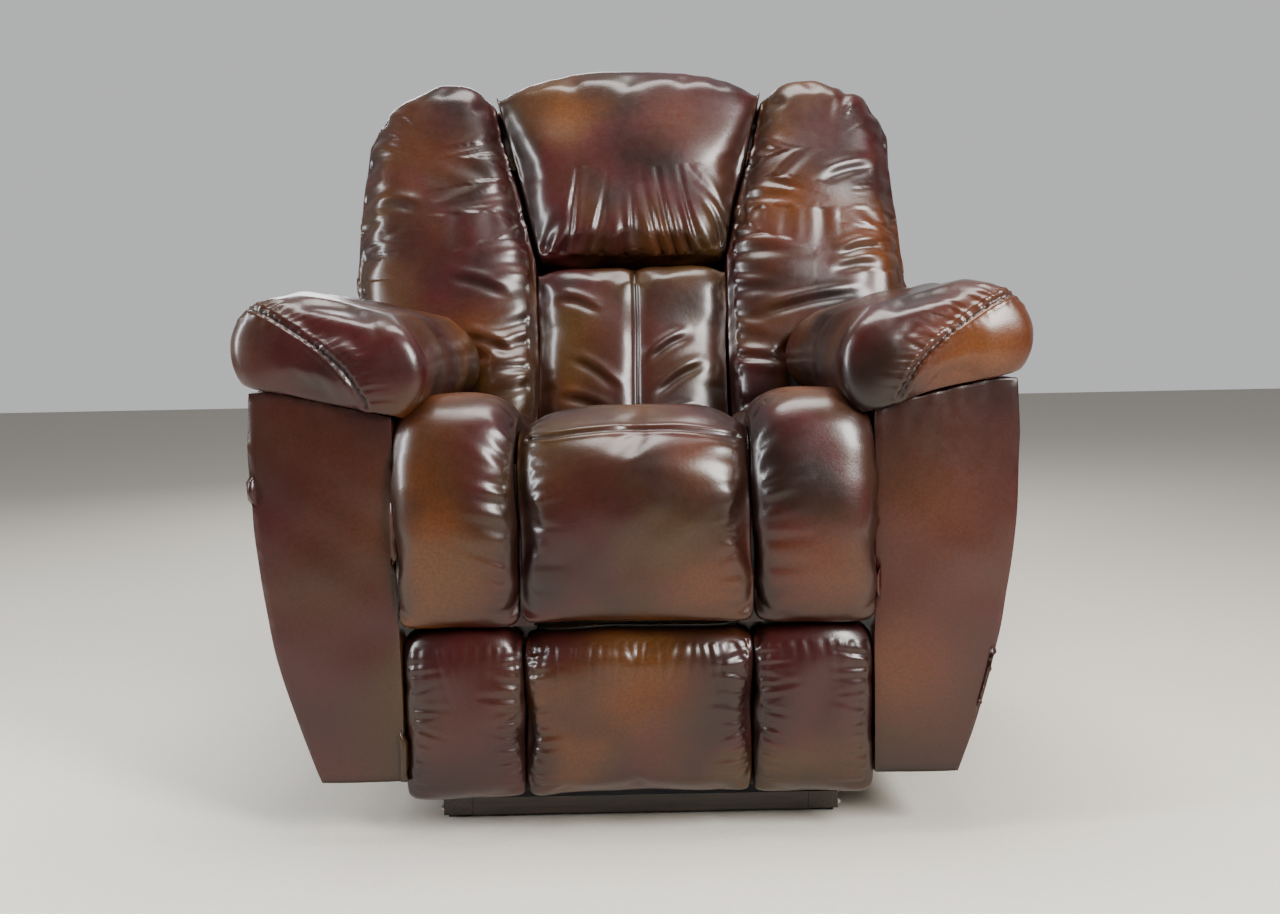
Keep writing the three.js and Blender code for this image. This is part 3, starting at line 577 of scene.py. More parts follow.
class Skin:
    """A leather surface while it is worked: each point's rise, its crease darkening (partly glaze,
    partly painted shade) and its painted channel shade.
    """

    def __init__(self, piece, seed=1):
        self.piece = piece
        self.chance = np.random.default_rng(seed)
        mesh = piece.data
        count = len(mesh.vertices)
        self.points = np.empty(count * 3, np.float32)
        mesh.vertices.foreach_get("co", self.points)
        self.points = self.points.reshape(-1, 3).astype(float)
        self.ways = np.empty(count * 3, np.float32)
        mesh.vertex_normals.foreach_get("vector", self.ways)
        self.ways = self.ways.reshape(-1, 3).astype(float)
        self.rise = np.zeros(count)
        self.crease = np.zeros(count)
        self.shade = np.zeros(count)
        self.tree = BVHTree.FromPolygons(
            [Vector(p) for p in self.points], [tuple(f.vertices) for f in mesh.polygons])

    def path(self, corners, along=None, spacing=0.003):
        """A smooth line through corners, laid on the surface along a way or to the nearest place."""
        knots = np.array([corners[0], *corners, corners[-1]], float)
        line = []
        for i in range(1, len(knots) - 2):
            a, b, c, d = knots[i - 1:i + 3]
            steps = max(2, int(np.linalg.norm(c - b) / spacing))
            for t in np.linspace(0, 1, steps, endpoint=False):
                line.append(0.5 * (2 * b + (c - a) * t + (2 * a - 5 * b + 4 * c - d) * t ** 2
                                   + (3 * b - a - 3 * c + d) * t ** 3))
        line.append(knots[-1])
        laid = []
        for p in line:
            hit = None
            if along is not None:
                way = Vector(along).normalized()
                hit = self.tree.ray_cast(Vector(p) - way * RAY_START, way)[0]
            laid.append(hit or self.tree.find_nearest(Vector(p))[0])
        return laid

    def near(self, line, reach):
        """The points within reach of a line: their numbers, distances, places along it and offsets
        from it, and the line's length."""
        stops = np.array([tuple(p) for p in line])
        run = np.concatenate([[0], np.cumsum(np.linalg.norm(np.diff(stops, axis=0), axis=1))])
        above = self.points > stops.min(0) - reach
        below = self.points < stops.max(0) + reach
        found = np.nonzero(np.all(above & below, axis=1))[0]
        tree = KDTree(len(stops))
        for i, p in enumerate(stops):
            tree.insert(p, i)
        tree.balance()
        closest = np.array([tree.find(self.points[i])[1] for i in found], int)
        gap = self.points[found] - stops[closest]
        ahead = np.gradient(stops, axis=0)
        ahead /= np.linalg.norm(ahead, axis=1)[:, None] + 1e-12
        lengthwise = np.einsum("ij,ij->i", gap, ahead[closest])
        beyond = (closest == 0) | (closest == len(stops) - 1)
        away = np.linalg.norm(gap, axis=1)
        flat = np.sqrt(np.maximum(away ** 2 - lengthwise ** 2, 0))
        distance = np.where(beyond, away, flat)
        keep = distance < reach
        return found[keep], distance[keep], (run[closest] + lengthwise)[keep], gap[keep], run[-1]

    def seam(self, line, depth, width, lip=0.0, dark=0.7, fade=0.0):
        """A sewn groove along a line, with the leather puffed up a little at its sides. It fades out
        over a length at both ends."""
        which, away, run, _, length = self.near(line, width * 4)
        ends = np.clip(np.minimum(run, length - run) / fade, 0, 1) if fade else 1.0
        groove = np.exp(-(away / width) ** 2)
        self.rise[which] += ends * (lip * np.exp(-((away - 2 * width) / width) ** 2) - depth * groove)
        # Darkens the groove: partly glaze, partly painted shade.
        self.crease[which] = np.maximum(
            self.crease[which], ends * dark * np.exp(-(away / (width * 0.8)) ** 2))

    def pucker(self, line, reach, spacing, depth, slant=0.0, toward=None, fan=0.0, dark=0.35):
        """Small folds that cross a line, lean by slant and spread by fan, and die out within reach."""
        which, away, run, gap, length = self.near(line, reach * 1.6)
        if toward is not None:
            facing = gap @ np.array(Vector(toward).normalized())
            keep = facing > -0.002
            which, away, run = which[keep], away[keep], run[keep]
        run = run + away * slant + fan * away * (run / length - 0.5)
        rise = np.zeros(len(which))
        place = -spacing
        while place < length + spacing:
            place += spacing * self.chance.uniform(0.55, 1.5)
            strength = self.chance.uniform(0.45, 1.0)
            own_reach = reach * self.chance.uniform(0.5, 1.25)
            width = spacing * self.chance.uniform(0.2, 0.34)
            bend = self.chance.uniform(-0.25, 0.25)
            across = (run - place - bend * away) / width
            fade = np.exp(-(away / own_reach) ** 2)
            lips = 0.55 * np.exp(-(np.abs(across) - 1.6) ** 2)
            rise -= strength * fade * (np.exp(-across ** 2) - lips)
        self.rise[which] += depth * rise
        # Darkens the fold valleys: partly glaze, partly painted shade.
        self.crease[which] = np.maximum(self.crease[which], np.clip(-rise, 0, 1) * dark)

    def fold(self, line, depth, width, dark=0.3):
        """One wrinkle: a valley with a ridge above it, fading out at both ends."""
        which, away, run, gap, length = self.near(line, width * 4)
        ends = np.clip(np.minimum(run, length - run) / (length * 0.35), 0, 1)
        ends = ends * ends * (3 - 2 * ends)
        up = np.sign(gap[:, 2])
        valley = np.exp(-(away / width) ** 2)
        ridge = np.exp(-((up * away - 1.7 * width) / (1.1 * width)) ** 2)
        self.rise[which] += depth * ends * (0.8 * ridge - valley)
        # Darkens the valley: partly glaze, partly painted shade.
        self.crease[which] = np.maximum(self.crease[which], dark * ends * valley)

    def lumps(self, size, height):
        """Soft unevenness of the filling."""
        total = np.zeros(len(self.points))
        for _ in range(LUMP_WAVES):
            way = self.chance.normal(size=3)
            way *= 2 * math.pi / (size * self.chance.uniform(0.75, 1.6)) / np.linalg.norm(way)
            total += np.sin(self.points @ way + self.chance.uniform(0, 2 * math.pi))
        self.rise += height * total / LUMP_SPREAD

    def shade_channels(self, strength=0.85):
        """Painted shade where the leather turns sideways, into the channels between the pads."""
        sideways = np.abs(self.ways[:, 0])
        self.shade = strength * np.clip((sideways - 0.35) / 0.5, 0, 1)

    def done(self):
        """Moves the points, and keeps the crease darkening and the painted channel shade for the
        material.
        """
        moved = self.points + self.ways * self.rise[:, None]
        self.piece.data.vertices.foreach_set("co", moved.astype(np.float32).ravel())
        for kind, values in (("crease", self.crease), ("shade", self.shade)):
            kept = self.piece.data.attributes.new(kind, "FLOAT", "POINT")
            kept.data.foreach_set("value", values.astype(np.float32))
        self.piece.data.update()
        self.piece.data.shade_smooth()
        return self.piece


def tint(piece, kind, *spots):
    """Rubs a colour into the leather in soft round spots: (x, y, z, radius, strength)."""
    points = np.array([v.co for v in piece.data.vertices], float).reshape(-1, 3)
    mask = np.zeros(len(points))
    for *centre, radius, strength in spots:
        away = np.linalg.norm(points - np.array(centre), axis=1)
        mask += strength * np.exp(-(away / radius) ** 2)
    rubbed = piece.data.attributes.new(kind, "FLOAT", "POINT")
    rubbed.data.foreach_set("value", mask.astype(np.float32))


ARM_ROWS = 46
ARM_COLUMNS = 18


def arm_section(y):
    """Points round an arm at y: up its inner side, across its top and down its outer side."""
    top_in = arm_top(ARM_IN, y)
    top_out = arm_top(ARM_CORNER, y)
    rise = [i / (ARM_ROWS - 1) for i in range(ARM_ROWS)]
    width = min(ARM_CORNER, arm_side(top_out)) - ARM_IN
    across = [ARM_IN + width * j / ARM_COLUMNS for j in range(1, ARM_COLUMNS)]
    outer = [ARM_LOW + (top_out - ARM_LOW) * part for part in reversed(rise)]
    return ([(ARM_IN, y, ARM_LOW + (top_in - ARM_LOW) * part) for part in rise]
            + [(x, y, arm_top(x, y)) for x in across]
            + [(arm_outside(z, top_out), y, z) for z in outer])


def arm_shell(name, side):
    """An arm's skin, open below: a section at each station, and a panel across both ends."""
    stations = np.concatenate([
        np.linspace(ARM_FRONT, RECLINE_PIVOT.y, 50, endpoint=False),
        np.linspace(RECLINE_PIVOT.y, ARM_REAR, 26)])
    points = [p for y in stations for p in arm_section(y)]
    columns = 2 * ARM_ROWS + ARM_COLUMNS - 1
    faces = grid_faces(len(stations), columns)
    for end in (0, len(stations) - 1):
        start = len(points)
        for i in range(ARM_ROWS):
            inner = Vector(points[end * columns + i])
            outer = Vector(points[end * columns + columns - 1 - i])
            points += [tuple(inner.lerp(outer, j / ARM_COLUMNS)) for j in range(ARM_COLUMNS + 1)]
        faces += grid_faces(ARM_ROWS, ARM_COLUMNS + 1, start)
        roof = end * columns + ARM_ROWS - 1
        ridge = start + (ARM_ROWS - 1) * (ARM_COLUMNS + 1)
        faces += [(roof + j, roof + j + 1, ridge + j + 1, ridge + j) for j in range(ARM_COLUMNS)]
    return mended(add_mesh(name, [(side * x, y, z) for x, y, z in points], faces), 0.0006)


LEATHER_AND_CARD = 0.006
ARM_EDGE = 0.016
SHARP = 0.7
FRONT_CROWN = 0.006
FRONT_CROWN_HALF = 0.27
PAD_LINE = ((ARM_IN + 0.012, 0.565), (0.40, 0.588), (0.475, 0.602))
for name, side in SIDES:
    cover = arm_shell(f"{name}_arm_leather", side)
    work = bmesh.new()
    work.from_mesh(cover.data)
    sharp = [e for e in work.edges if len(e.link_faces) == 2 and e.calc_face_angle(0) > SHARP]
    bmesh.ops.bevel(work, geom=sharp, offset=ARM_EDGE, segments=4, profile=0.5, affect="EDGES",
                    clamp_overlap=True)
    work.to_mesh(cover.data)
    work.free()
    mended(cover, 0.0004)
    skin = Skin(cover, 20 + side)
    front = skin.ways[:, 1] < -0.7
    mid_z = (ARM_LOW + ARM_SHOULDER) / 2
    crown = np.clip(1 - ((skin.points[:, 2] - mid_z) / FRONT_CROWN_HALF) ** 2, 0, 1)
    half = np.array([(arm_side(z) - ARM_IN) / 2 for z in skin.points[:, 2]])
    offset = np.abs(skin.points[:, 0] * side - ARM_IN - half) / half
    skin.rise += np.where(front, FRONT_CROWN * crown * np.clip(1 - offset ** 2, 0, 1), 0)
    skin.lumps(0.16, 0.0014)
    skin.lumps(0.055, 0.0004)
    top_line = skin.path([(side * x, ARM_FRONT, z) for x, z in PAD_LINE], along=(0, 1, 0))
    skin.pucker(top_line, 0.050, 0.020, 0.0022, toward=(0, 0, -1), dark=0.15)
    skin.done()
    wall = cover.modifiers.new("wall", "SOLIDIFY")
    wall.thickness = LEATHER_AND_CARD
    wall.offset = -1
    settle(cover)
    cover.data.shade_smooth()
    if side > 0:
        tint(cover, "amber", (0.335, ARM_FRONT, 0.22, 0.09, 0.5),
             (0.37, ARM_FRONT, 0.44, 0.09, 0.35))
        tint(cover, "ruby", (0.49, ARM_FRONT, 0.44, 0.09, 0.8), (0.43, ARM_FRONT, 0.14, 0.07, 0.5))
    else:
        tint(cover, "ruby", (-0.36, ARM_FRONT, 0.50, 0.12, 0.5),
             (-0.44, ARM_FRONT, 0.25, 0.10, 0.6))
    finish_piece(cover, body_leather, "chair_body", "leather", f"{name}_arm_cover")

WELT = 0.0026
WELT_SEAT = 0.0042
WELT_LOW = ARM_LOW + 0.006
SHOULDER_TOP = arm_top(ARM_CORNER, ARM_FRONT)
for name, side in SIDES:
    outer_edge = [(arm_outside(z, SHOULDER_TOP) - WELT_SEAT, z)
                  for z in np.linspace(WELT_LOW, 0.592, 60)]
    inner_edge = [(ARM_IN + WELT_SEAT, z) for z in np.linspace(WELT_LOW, 0.556, 50)]
    for edge, places in (("outer", outer_edge), ("inner", inner_edge)):
        path = [(side * x, ARM_FRONT + WELT_SEAT, z) for x, z in places]
        welt = add_tube(f"{name}_arm_{edge}_welt", path, WELT)
        finish_piece(welt, body_leather, "chair_body", "leather")


# ------------------------------------------------------------------ arm pads
# A pillow on each arm, stuffed with foam and fibre. A plain D-shaped insert is sewn into its front,
# and the leather above it is gathered tightly along the curved seam.

def bare_copy(name, node):
    """A copy of a CAD solid with its loose triangles merged."""
    mesh = frame["nodes"][node].data.copy()
    mesh.materials.clear()
    piece = bpy.data.objects.new(name, mesh)
    bpy.context.scene.collection.objects.link(piece)
    return mended(piece, 0.00002)


def box_of(points):
    return points.min(0), points.max(0)


def points_of(piece):
    found = np.empty(len(piece.data.vertices) * 3, np.float32)
    piece.data.vertices.foreach_get("co", found)
    return found.reshape(-1, 3).astype(float)


def place_points(piece, points):
    piece.data.vertices.foreach_set("co", np.asarray(points, np.float32).ravel())
    piece.data.update()


def turned(points, stand):
    """Points taken through a matrix."""
    m = np.array(stand)
    return points @ m[:3, :3].T + m[:3, 3]


UPRIGHT = Matrix.Identity(4)
SIM_FRAMES = 20


def eased(piece, steps):
    """Puts a smoothing modifier on a piece."""
    ease = piece.modifiers.new("ease", "SMOOTH")
    ease.factor = 0.5
    ease.iterations = steps


def softened(piece, voxel, steps):
    """Turns a plain solid into even cells with soft edges."""
    cells = piece.modifiers.new("cells", "REMESH")
    cells.mode = "VOXEL"
    cells.voxel_size = voxel
    eased(piece, steps)
    return settle(piece)


def rounded(piece, voxel, softness, stand=UPRIGHT, grow=((0, 0, 0), (0, 0, 0))):
    """Softens a solid, fits it back to its box, and grows it on its low and high sides."""
    low, high = box_of(turned(points_of(piece), stand.inverted()))
    softened(piece, voxel, softness)
    local = turned(points_of(piece), stand.inverted())
    now_low, now_high = box_of(local)
    low = low - np.array(grow[0])
    high = high + np.array(grow[1])
    local = (local - now_low) / (now_high - now_low) * (high - low) + low
    place_points(piece, turned(local, stand))
    return piece


def swollen(piece, swell):
    """Air pressure inside its cloth swells a pad, with no point moved further than swell."""
    start = points_of(piece)
    cloth = piece.modifiers.new("cloth", "CLOTH")
    cloth.settings.quality = 4
    cloth.settings.mass = 0.25
    cloth.settings.tension_stiffness = 12
    cloth.settings.compression_stiffness = 12
    cloth.settings.shear_stiffness = 4
    cloth.settings.bending_stiffness = 0.4
    cloth.settings.use_pressure = True
    cloth.settings.uniform_pressure_force = 4.0
    cloth.settings.effector_weights.gravity = 0
    cloth.point_cache.frame_start = 1
    cloth.point_cache.frame_end = SIM_FRAMES
    for number in range(1, SIM_FRAMES + 1):
        bpy.context.scene.frame_set(number)
    settle(piece)
    bpy.context.scene.frame_set(1)
    move = points_of(piece) - start
    far = np.linalg.norm(move, axis=1)
    move *= np.minimum(1, swell / np.maximum(far, 1e-9))[:, None]
    place_points(piece, start + move)
    return piece


def at_points(rule, points):
    """A number as it is, or what a rule gives for every point."""
    return rule(points) if callable(rule) else rule


FREE = 9
ANYWHERE = (-FREE, FREE)


def pressed(piece, x=ANYWHERE, y=ANYWHERE, z=ANYWHERE, stand=UPRIGHT):
    """Flattens a pad where it meets its neighbours, between a low and a high limit on each axis."""
    local = turned(points_of(piece), stand.inverted())
    for axis, (low, high) in enumerate((x, y, z)):
        local[:, axis] = np.clip(local[:, axis], at_points(low, local), at_points(high, local))
    place_points(piece, turned(local, stand))
    return piece


def pillowed(piece, middle, half, drop):
    """Rounds a pad's front and top down by drop towards its sides, half away from its middle."""
    points = points_of(piece)
    ways = np.array([v.normal for v in piece.data.vertices], float).reshape(-1, 3)
    off = np.abs(points[:, 0] - at_points(middle, points))
    across = np.clip(off / at_points(half, points), 0, 1)
    fall = 1 - np.sqrt(1 - 0.999 * across ** 2.6)
    outward = np.clip((ways[:, 2] - ways[:, 1]) * 2.5, 0, 1)
    down = (drop * fall * outward)[:, None]
    place_points(piece, points - ways * np.array([0, 1, 1]) * down)
    return piece


def finer(piece, ease_steps=4):
    """Eases the pressed edges, then one subdivision rounds the cells away."""
    eased(piece, ease_steps)
    smooth = piece.modifiers.new("finer", "SUBSURF")
    smooth.levels = 1
    smooth.render_levels = 1
    return settle(piece)


def other_side(piece, name):
    """The mirror image of a pad, across the chair's middle."""
    twin = bpy.data.objects.new(name, piece.data.copy())
    bpy.context.scene.collection.objects.link(twin)
    place_points(twin, points_of(twin) * np.array([-1, 1, 1]))
    twin.data.flip_normals()
    return twin


pad_leather = leather("arm_pad_leather", (2.2, 0.4, 1.3), 0.0)

left_arm_pad = rounded(bare_copy("left_arm_pillow", "left_arm_pad"), 0.0055, 26,
                       grow=((0.011, -0.003, 0.022), (-0.002, 0, -0.003)))
swollen(left_arm_pad, 0.008)


PAD_LIFT = 0.0008


def on_arm(points):
    """The lowest a pad may sag: just above the arm's sloping top, and free of it on either side."""
    rest = ARM_HIGH + PAD_LIFT - (ARM_CORNER - points[:, 0]) * PAD_SLOPE
    beside = np.maximum(ARM_IN - 0.006 - points[:, 0], points[:, 0] - ARM_OUT - 0.002)
    return rest - np.clip(beside, 0, 0.03) * 1.1


pressed(left_arm_pad, z=(on_arm, FREE))
finer(left_arm_pad)
arm_pads = {"left": left_arm_pad, "right": other_side(left_arm_pad, "right_arm_pillow")}
INSERT_SEAM = ((0.497, 0.704), (0.470, 0.703), (0.434, 0.686), (0.391, 0.656), (0.354, 0.620),
               (0.333, 0.580))
thread_paths = {}
for name, side in SIDES:
    pad = arm_pads[name]
    skin = Skin(pad, 40 + side)
    seam = skin.path([(side * x, ARM_FRONT, z) for x, z in INSERT_SEAM], along=(0, 1, 0))
    skin.lumps(0.10, 0.0016)
    skin.seam(seam, 0.0035, 0.0035, lip=0.0012)
    skin.pucker(seam, 0.026, 0.0095, 0.0022, slant=-0.35, toward=(-side * 0.45, 0, 0.9), dark=0.4)
    skin.pucker(seam, 0.012, 0.011, 0.0009, toward=(side * 0.45, 0, -0.9), dark=0.15)
    skin.done()
    thread_paths[name] = seam
    if side > 0:
        tint(pad, "amber", (0.45, -0.45, 0.65, 0.055, 1.0), (0.40, -0.45, 0.61, 0.05, 0.6))
    else:
        tint(pad, "ruby", (-0.45, -0.45, 0.67, 0.05, 0.4), (-0.33, -0.44, 0.66, 0.05, 0.5))
    finish_piece(pad, pad_leather, "chair_body", "leather", f"{name}_arm_pad")


def stitch_shape(start, length, radius):
    """One thread, plump in the middle and thin where it goes into the leather."""
    bead = start.make("GeometryNodeMeshUVSphere", {"Segments": 8, "Rings": 6, "Radius": 1.0})
    size = start.make("ShaderNodeCombineXYZ", {"X": radius, "Y": radius, "Z": length * 0.5})
    return start.make("GeometryNodeTransform", {"Geometry": bead, "Scale": size})


thread, shader, place = material("waxed_thread", Roughness=0.5)
twist = place.noise(900, 2, 0.5)
paint(shader,
      Base_Color=twist.mix((0.020, 0.008, 0.005), (0.060, 0.025, 0.012)),
      Normal=bump(place, twist, 0.0002, 0.5))
STITCH = {"Length": 0.006, "Radius": 0.0007}
STITCH_STEP = 0.0085
THREAD_LIFT = 0.0003
BESIDE_SEAM = (0.0022, 0, -0.0042)
stitches = planting_tree("stitches", STITCH, stitch_shape)


def sew(name, piece, path, aside, body):
    """A row of stitches on a piece's surface, beside a seam."""
    surface = Skin(piece).tree
    shifted = [Vector(p) + Vector(aside) for p in path]
    places = []
    run = 0.0
    for before, after in zip(shifted, shifted[1:]):
        run += (after - before).length
        if run >= STITCH_STEP:
            run = 0.0
            spot, way = surface.find_nearest(after)[:2]
            places.append((spot + way * THREAD_LIFT, (after - before).normalized()))
    plant(name, places, stitches, body, "leather", Finish=thread, **STITCH)


for name, side in SIDES:
    aside = (side * BESIDE_SEAM[0], *BESIDE_SEAM[1:])
    sew(f"{name}_insert_stitches", arm_pads[name], thread_paths[name], aside, "chair_body")


# ------------------------------------------------------------------ seat frame
# Four plywood rails joined at the corners, with wire springs across the top.

dress(plywood("seat_rail_wood", 0, 1), *both("seat_rail"))
dress(ply_face, "front_seat_rail", "rear_seat_rail")
dress(spring_wire, *both("seat_spring"))


# ------------------------------------------------------------------ seat pads
# Three pads of foam over the springs, which roll over the front rail and hang to the footrest. The
# middle one has a seam across its front edge. The outer two are domed, and gathered along the channel.

seat_leather = leather("seat_leather", (0.9, 3.3, 0.2), 0.03)
SEAT_SIDE = 0.1495
CHANNEL = 0.0006
CENTRE_ACROSS = (CHANNEL - SEAT_SIDE, SEAT_SIDE - CHANNEL)
CENTRE_HALF = 0.158
OUTER_MIDDLE = 0.231
OUTER_HALF = 0.088
SEAT_REAR = 0.078
SEAT_HEM = 0.2865
AHEAD = (0, 1, 0)

centre_seat = rounded(bare_copy("centre_seat_cushion", "centre_seat_pad"), 0.007, 20,
                      grow=((0.008, -0.002, 0.004), (0.008, 0, -0.009)))
pillowed(centre_seat, 0, CENTRE_HALF, 0.030)
swollen(centre_seat, 0.009)
pressed(centre_seat, x=CENTRE_ACROSS, y=(-FREE, SEAT_REAR), z=(SEAT_HEM, FREE))
finer(centre_seat)
skin = Skin(centre_seat, 61)
skin.lumps(0.13, 0.0016)
skin.lumps(0.05, 0.0005)
SEAT_EDGE = ((0.128, -0.395, 0.560), (0.132, -0.445, 0.50), (0.134, -0.455, 0.42),
             (0.133, -0.452, 0.33))
for side in (-1, 1):
    edge = skin.path([(side * x, y, z) for x, y, z in SEAT_EDGE])
    skin.pucker(edge, 0.028, 0.024, 0.0015, toward=(-side, 0, 0), dark=0.3)
BROW = ((-0.135, 0.532), (-0.07, 0.541), (0, 0.543), (0.07, 0.541), (0.135, 0.532))
brow = skin.path([(x, -0.52, z) for x, z in BROW], along=AHEAD)
skin.seam(brow, 0.0032, 0.0035, lip=0.0012, dark=0.6)
skin.shade_channels()
skin.done()
tint(centre_seat, "amber", (0.085, -0.44, 0.50, 0.045, 0.5), (0.10, -0.455, 0.34, 0.06, 0.55),
     (-0.02, -0.43, 0.545, 0.035, 0.35))
tint(centre_seat, "ruby", (-0.06, -0.455, 0.43, 0.075, 0.8))
finish_piece(centre_seat, seat_leather, "seat", "leather", "centre_seat_pad")

PAST_ARM = 0.006
OVER_ARM = 0.010
BESIDE_ARM = 0.0015


def beside_arm(points):
    """The seat's outer limit: the arm's inner side, and a little further in front of the arm."""
    return np.where(points[:, 1] < ARM_FRONT - PAST_ARM, ARM_IN + OVER_ARM, ARM_IN - BESIDE_ARM)


left_seat = rounded(bare_copy("left_seat_cushion", "left_seat_pad"), 0.007, 26,
                    grow=((0.010, -0.002, 0.004), (0.018, 0, 0.003)))
pillowed(left_seat, OUTER_MIDDLE, OUTER_HALF, 0.042)
swollen(left_seat, 0.009)
pressed(left_seat, x=(SEAT_SIDE + CHANNEL, beside_arm), y=(-FREE, SEAT_REAR), z=(SEAT_HEM, FREE))
finer(left_seat)
seat_pads = {"left": left_seat, "right": other_side(left_seat, "right_seat_cushion")}
OUTER_EDGE = ((0.165, -0.30, 0.57), (0.166, -0.40, 0.545), (0.164, -0.445, 0.47),
              (0.163, -0.452, 0.38), (0.165, -0.445, 0.31))
for name, side in SIDES:
    pad = seat_pads[name]
    skin = Skin(pad, 70 + side)
    skin.lumps(0.12, 0.0016)
    inner = skin.path([(side * x, y, z) for x, y, z in OUTER_EDGE])
    skin.pucker(inner, 0.040, 0.030, 0.0022, slant=0.25, toward=(side, 0, 0), dark=0.35)
    skin.shade_channels()
    skin.done()
    tint(pad, "amber", (side * 0.25, -0.455, 0.36, 0.07, 0.5))
    finish_piece(pad, seat_leather, "seat", "leather", f"{name}_seat_pad")


STRIP_HALF = 0.016
STRIP_THICK = 0.003
STRIP_FACES = ((0, 1, 5, 4), (2, 6, 7, 3), (0, 2, 3, 1), (4, 5, 7, 6), (0, 4, 6, 2), (1, 3, 7, 5))


def add_backing(name, x, front, low, high, body):
    """A strip of leather behind the channel between two pads, so that no light shows through."""
    corners = [(x + a * STRIP_HALF, front + b, z)
               for z in (low, high) for b in (0, STRIP_THICK) for a in (-1, 1)]
    finish_piece(mended(add_mesh(name, corners, STRIP_FACES)), seat_leather, body, "leather")


SEAT_STRIP_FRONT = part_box("centre_seat_pad")[0].y + 0.045
for name, side in SIDES:
    add_backing(f"{name}_seat_channel", side * SEAT_SIDE, SEAT_STRIP_FRONT, 0.289, 0.500, "seat")


# ------------------------------------------------------------------ back frame
# Two posts and three rails of plywood, webbing across the small of the back, and a steel bracket on
# each post that carries the recline pin.

dress(plywood("back_post_wood", 1, 2), *both("back_post"))
dress(ply_face, "top_back_rail", "middle_back_rail", "bottom_back_rail")
dress(black_steel, *both("back_bracket"))

webbing, shader, place = material("jute_webbing", Roughness=0.9)
warp, weft = (
    place.make("ShaderNodeTexWave", {"Vector": place, "Scale": 160.0},
               bands_direction=way, wave_type="BANDS") for way in "XZ")
cloth_height = warp * weft
paint(shader,
      Base_Color=cloth_height.mix((0.13, 0.10, 0.07), (0.34, 0.28, 0.20)),
      Normal=bump(place, cloth_height, 0.0008, 0.7))
dress(webbing, "lumbar_webbing")


# ------------------------------------------------------------------ back pads
# Two long side pads reach from the seat to the shoulders. Between them a head pillow, wide at the top
# and pulled in to a point below, stands over a lumbar pad that a seam parts in two.

BACK_LEAN = math.radians(15)
SEAM_START = -0.05
back_stand = Matrix.Translation(RECLINE_PIVOT) @ Matrix.Rotation(-BACK_LEAN, 4, "X")
back_leather = leather("back_leather", (1.7, 0.2, 2.9), 0.01)
side_leather = leather("side_pad_leather", (0.2, 2.6, 4.4), 0.0)


def on_back(x, up, front=SEAM_START):
    """A point given across the back, and up along it from the recline pivot."""
    return back_stand @ Vector((x, front, up))


BACK_FACE = back_stand.to_3x3() @ Vector((0, 1, 0))


def back_line(skin, spots, side=1):
    """A line over the front of the back, through (across, up) spots."""
    return skin.path([on_back(side * x, up) for x, up in spots], along=BACK_FACE)


def crease_line(skin, x0, up0, x1, up1, arch, side=1):
    """A line over the front of the back from one spot to another, raised by arch halfway."""
    return back_line(skin, ((x0, up0), ((x0 + x1) / 2, (up0 + up1) / 2 + arch), (x1, up1)), side)


LUMBAR_HALF = 0.165
HEAD_FOOT = 0.387
CHANNEL_FLARE = 0.245


def channel_at(up):
    """How far from the middle the channel runs beside the side pads: straight, then leaning out."""
    return LUMBAR_HALF + np.maximum(0, up - HEAD_FOOT) * CHANNEL_FLARE


WING_FOOT = 0.187
BETWEEN_ARMS = 0.3045
BACK_FRAME_FRONT = 0.0765


def up_back(points):
    """How far up the back each point is."""
    return turned(points, back_stand.inverted())[:, 2]


def side_edge(points):
    """The outer edge of the side pads: narrow between the arms, and full width above them."""
    up = up_back(points)
    widen = np.clip((up - WING_FOOT + 0.03) / 0.06, 0, 1)
    shoulder = np.clip((up - 0.36) / 0.35, 0, 1)
    return 0.300 + 0.194 * widen ** 2 * (3 - 2 * widen) - 0.125 * shoulder ** 6


def side_channel(points):
    return channel_at(up_back(points))


def side_middle(points):
    return (side_channel(points) + side_edge(points)) / 2


def side_half(points):
    return (side_edge(points) - side_channel(points)) / 2 + 0.010


left_back = rounded(bare_copy("left_side_cushion", "left_back_pad"), 0.007, 22, back_stand,
                    grow=((0.010, 0.002, 0), (0, 0, 0.002)))
pillowed(left_back, side_middle, side_half, 0.055)
FOOT_WIDENED = 0.13
points = points_of(left_back)
past_channel = points[:, 0] - side_channel(points)
points[:, 0] += FOOT_WIDENED * past_channel * (up_back(points) < WING_FOOT - 0.004)
place_points(left_back, points)
swollen(left_back, 0.011)
pressed(left_back, y=(-FREE, BACK_FRAME_FRONT), stand=back_stand, x=(
    lambda p: channel_at(p[:, 2]) + CHANNEL,
    lambda p: np.where(p[:, 2] < 0.18, BETWEEN_ARMS, FREE)))
finer(left_back)
back_pads = {"left": left_back, "right": other_side(left_back, "right_side_cushion")}
CHANNEL_GATHERS = ((0.205, 0.60), (0.190, 0.50), (0.184, 0.38), (0.184, 0.25), (0.184, 0.12))
EDGE_GATHERS = ((0.41, 0.69), (0.455, 0.64), (0.475, 0.54), (0.482, 0.42), (0.480, 0.30))
SIDE_CREASES = {
    # across and up at one end, across and up at the other, depth
    "left": ((0.19, 0.255, 0.42, 0.300, 0.004), (0.35, 0.36, 0.45, 0.385, 0.004),
             (0.34, 0.335, 0.44, 0.350, 0.003), (0.33, 0.50, 0.44, 0.53, 0.003)),
    "right": ((0.20, 0.20, 0.30, 0.235, 0.004), (0.36, 0.46, 0.45, 0.47, 0.003),
              (0.20, 0.30, 0.33, 0.34, 0.003)),
}
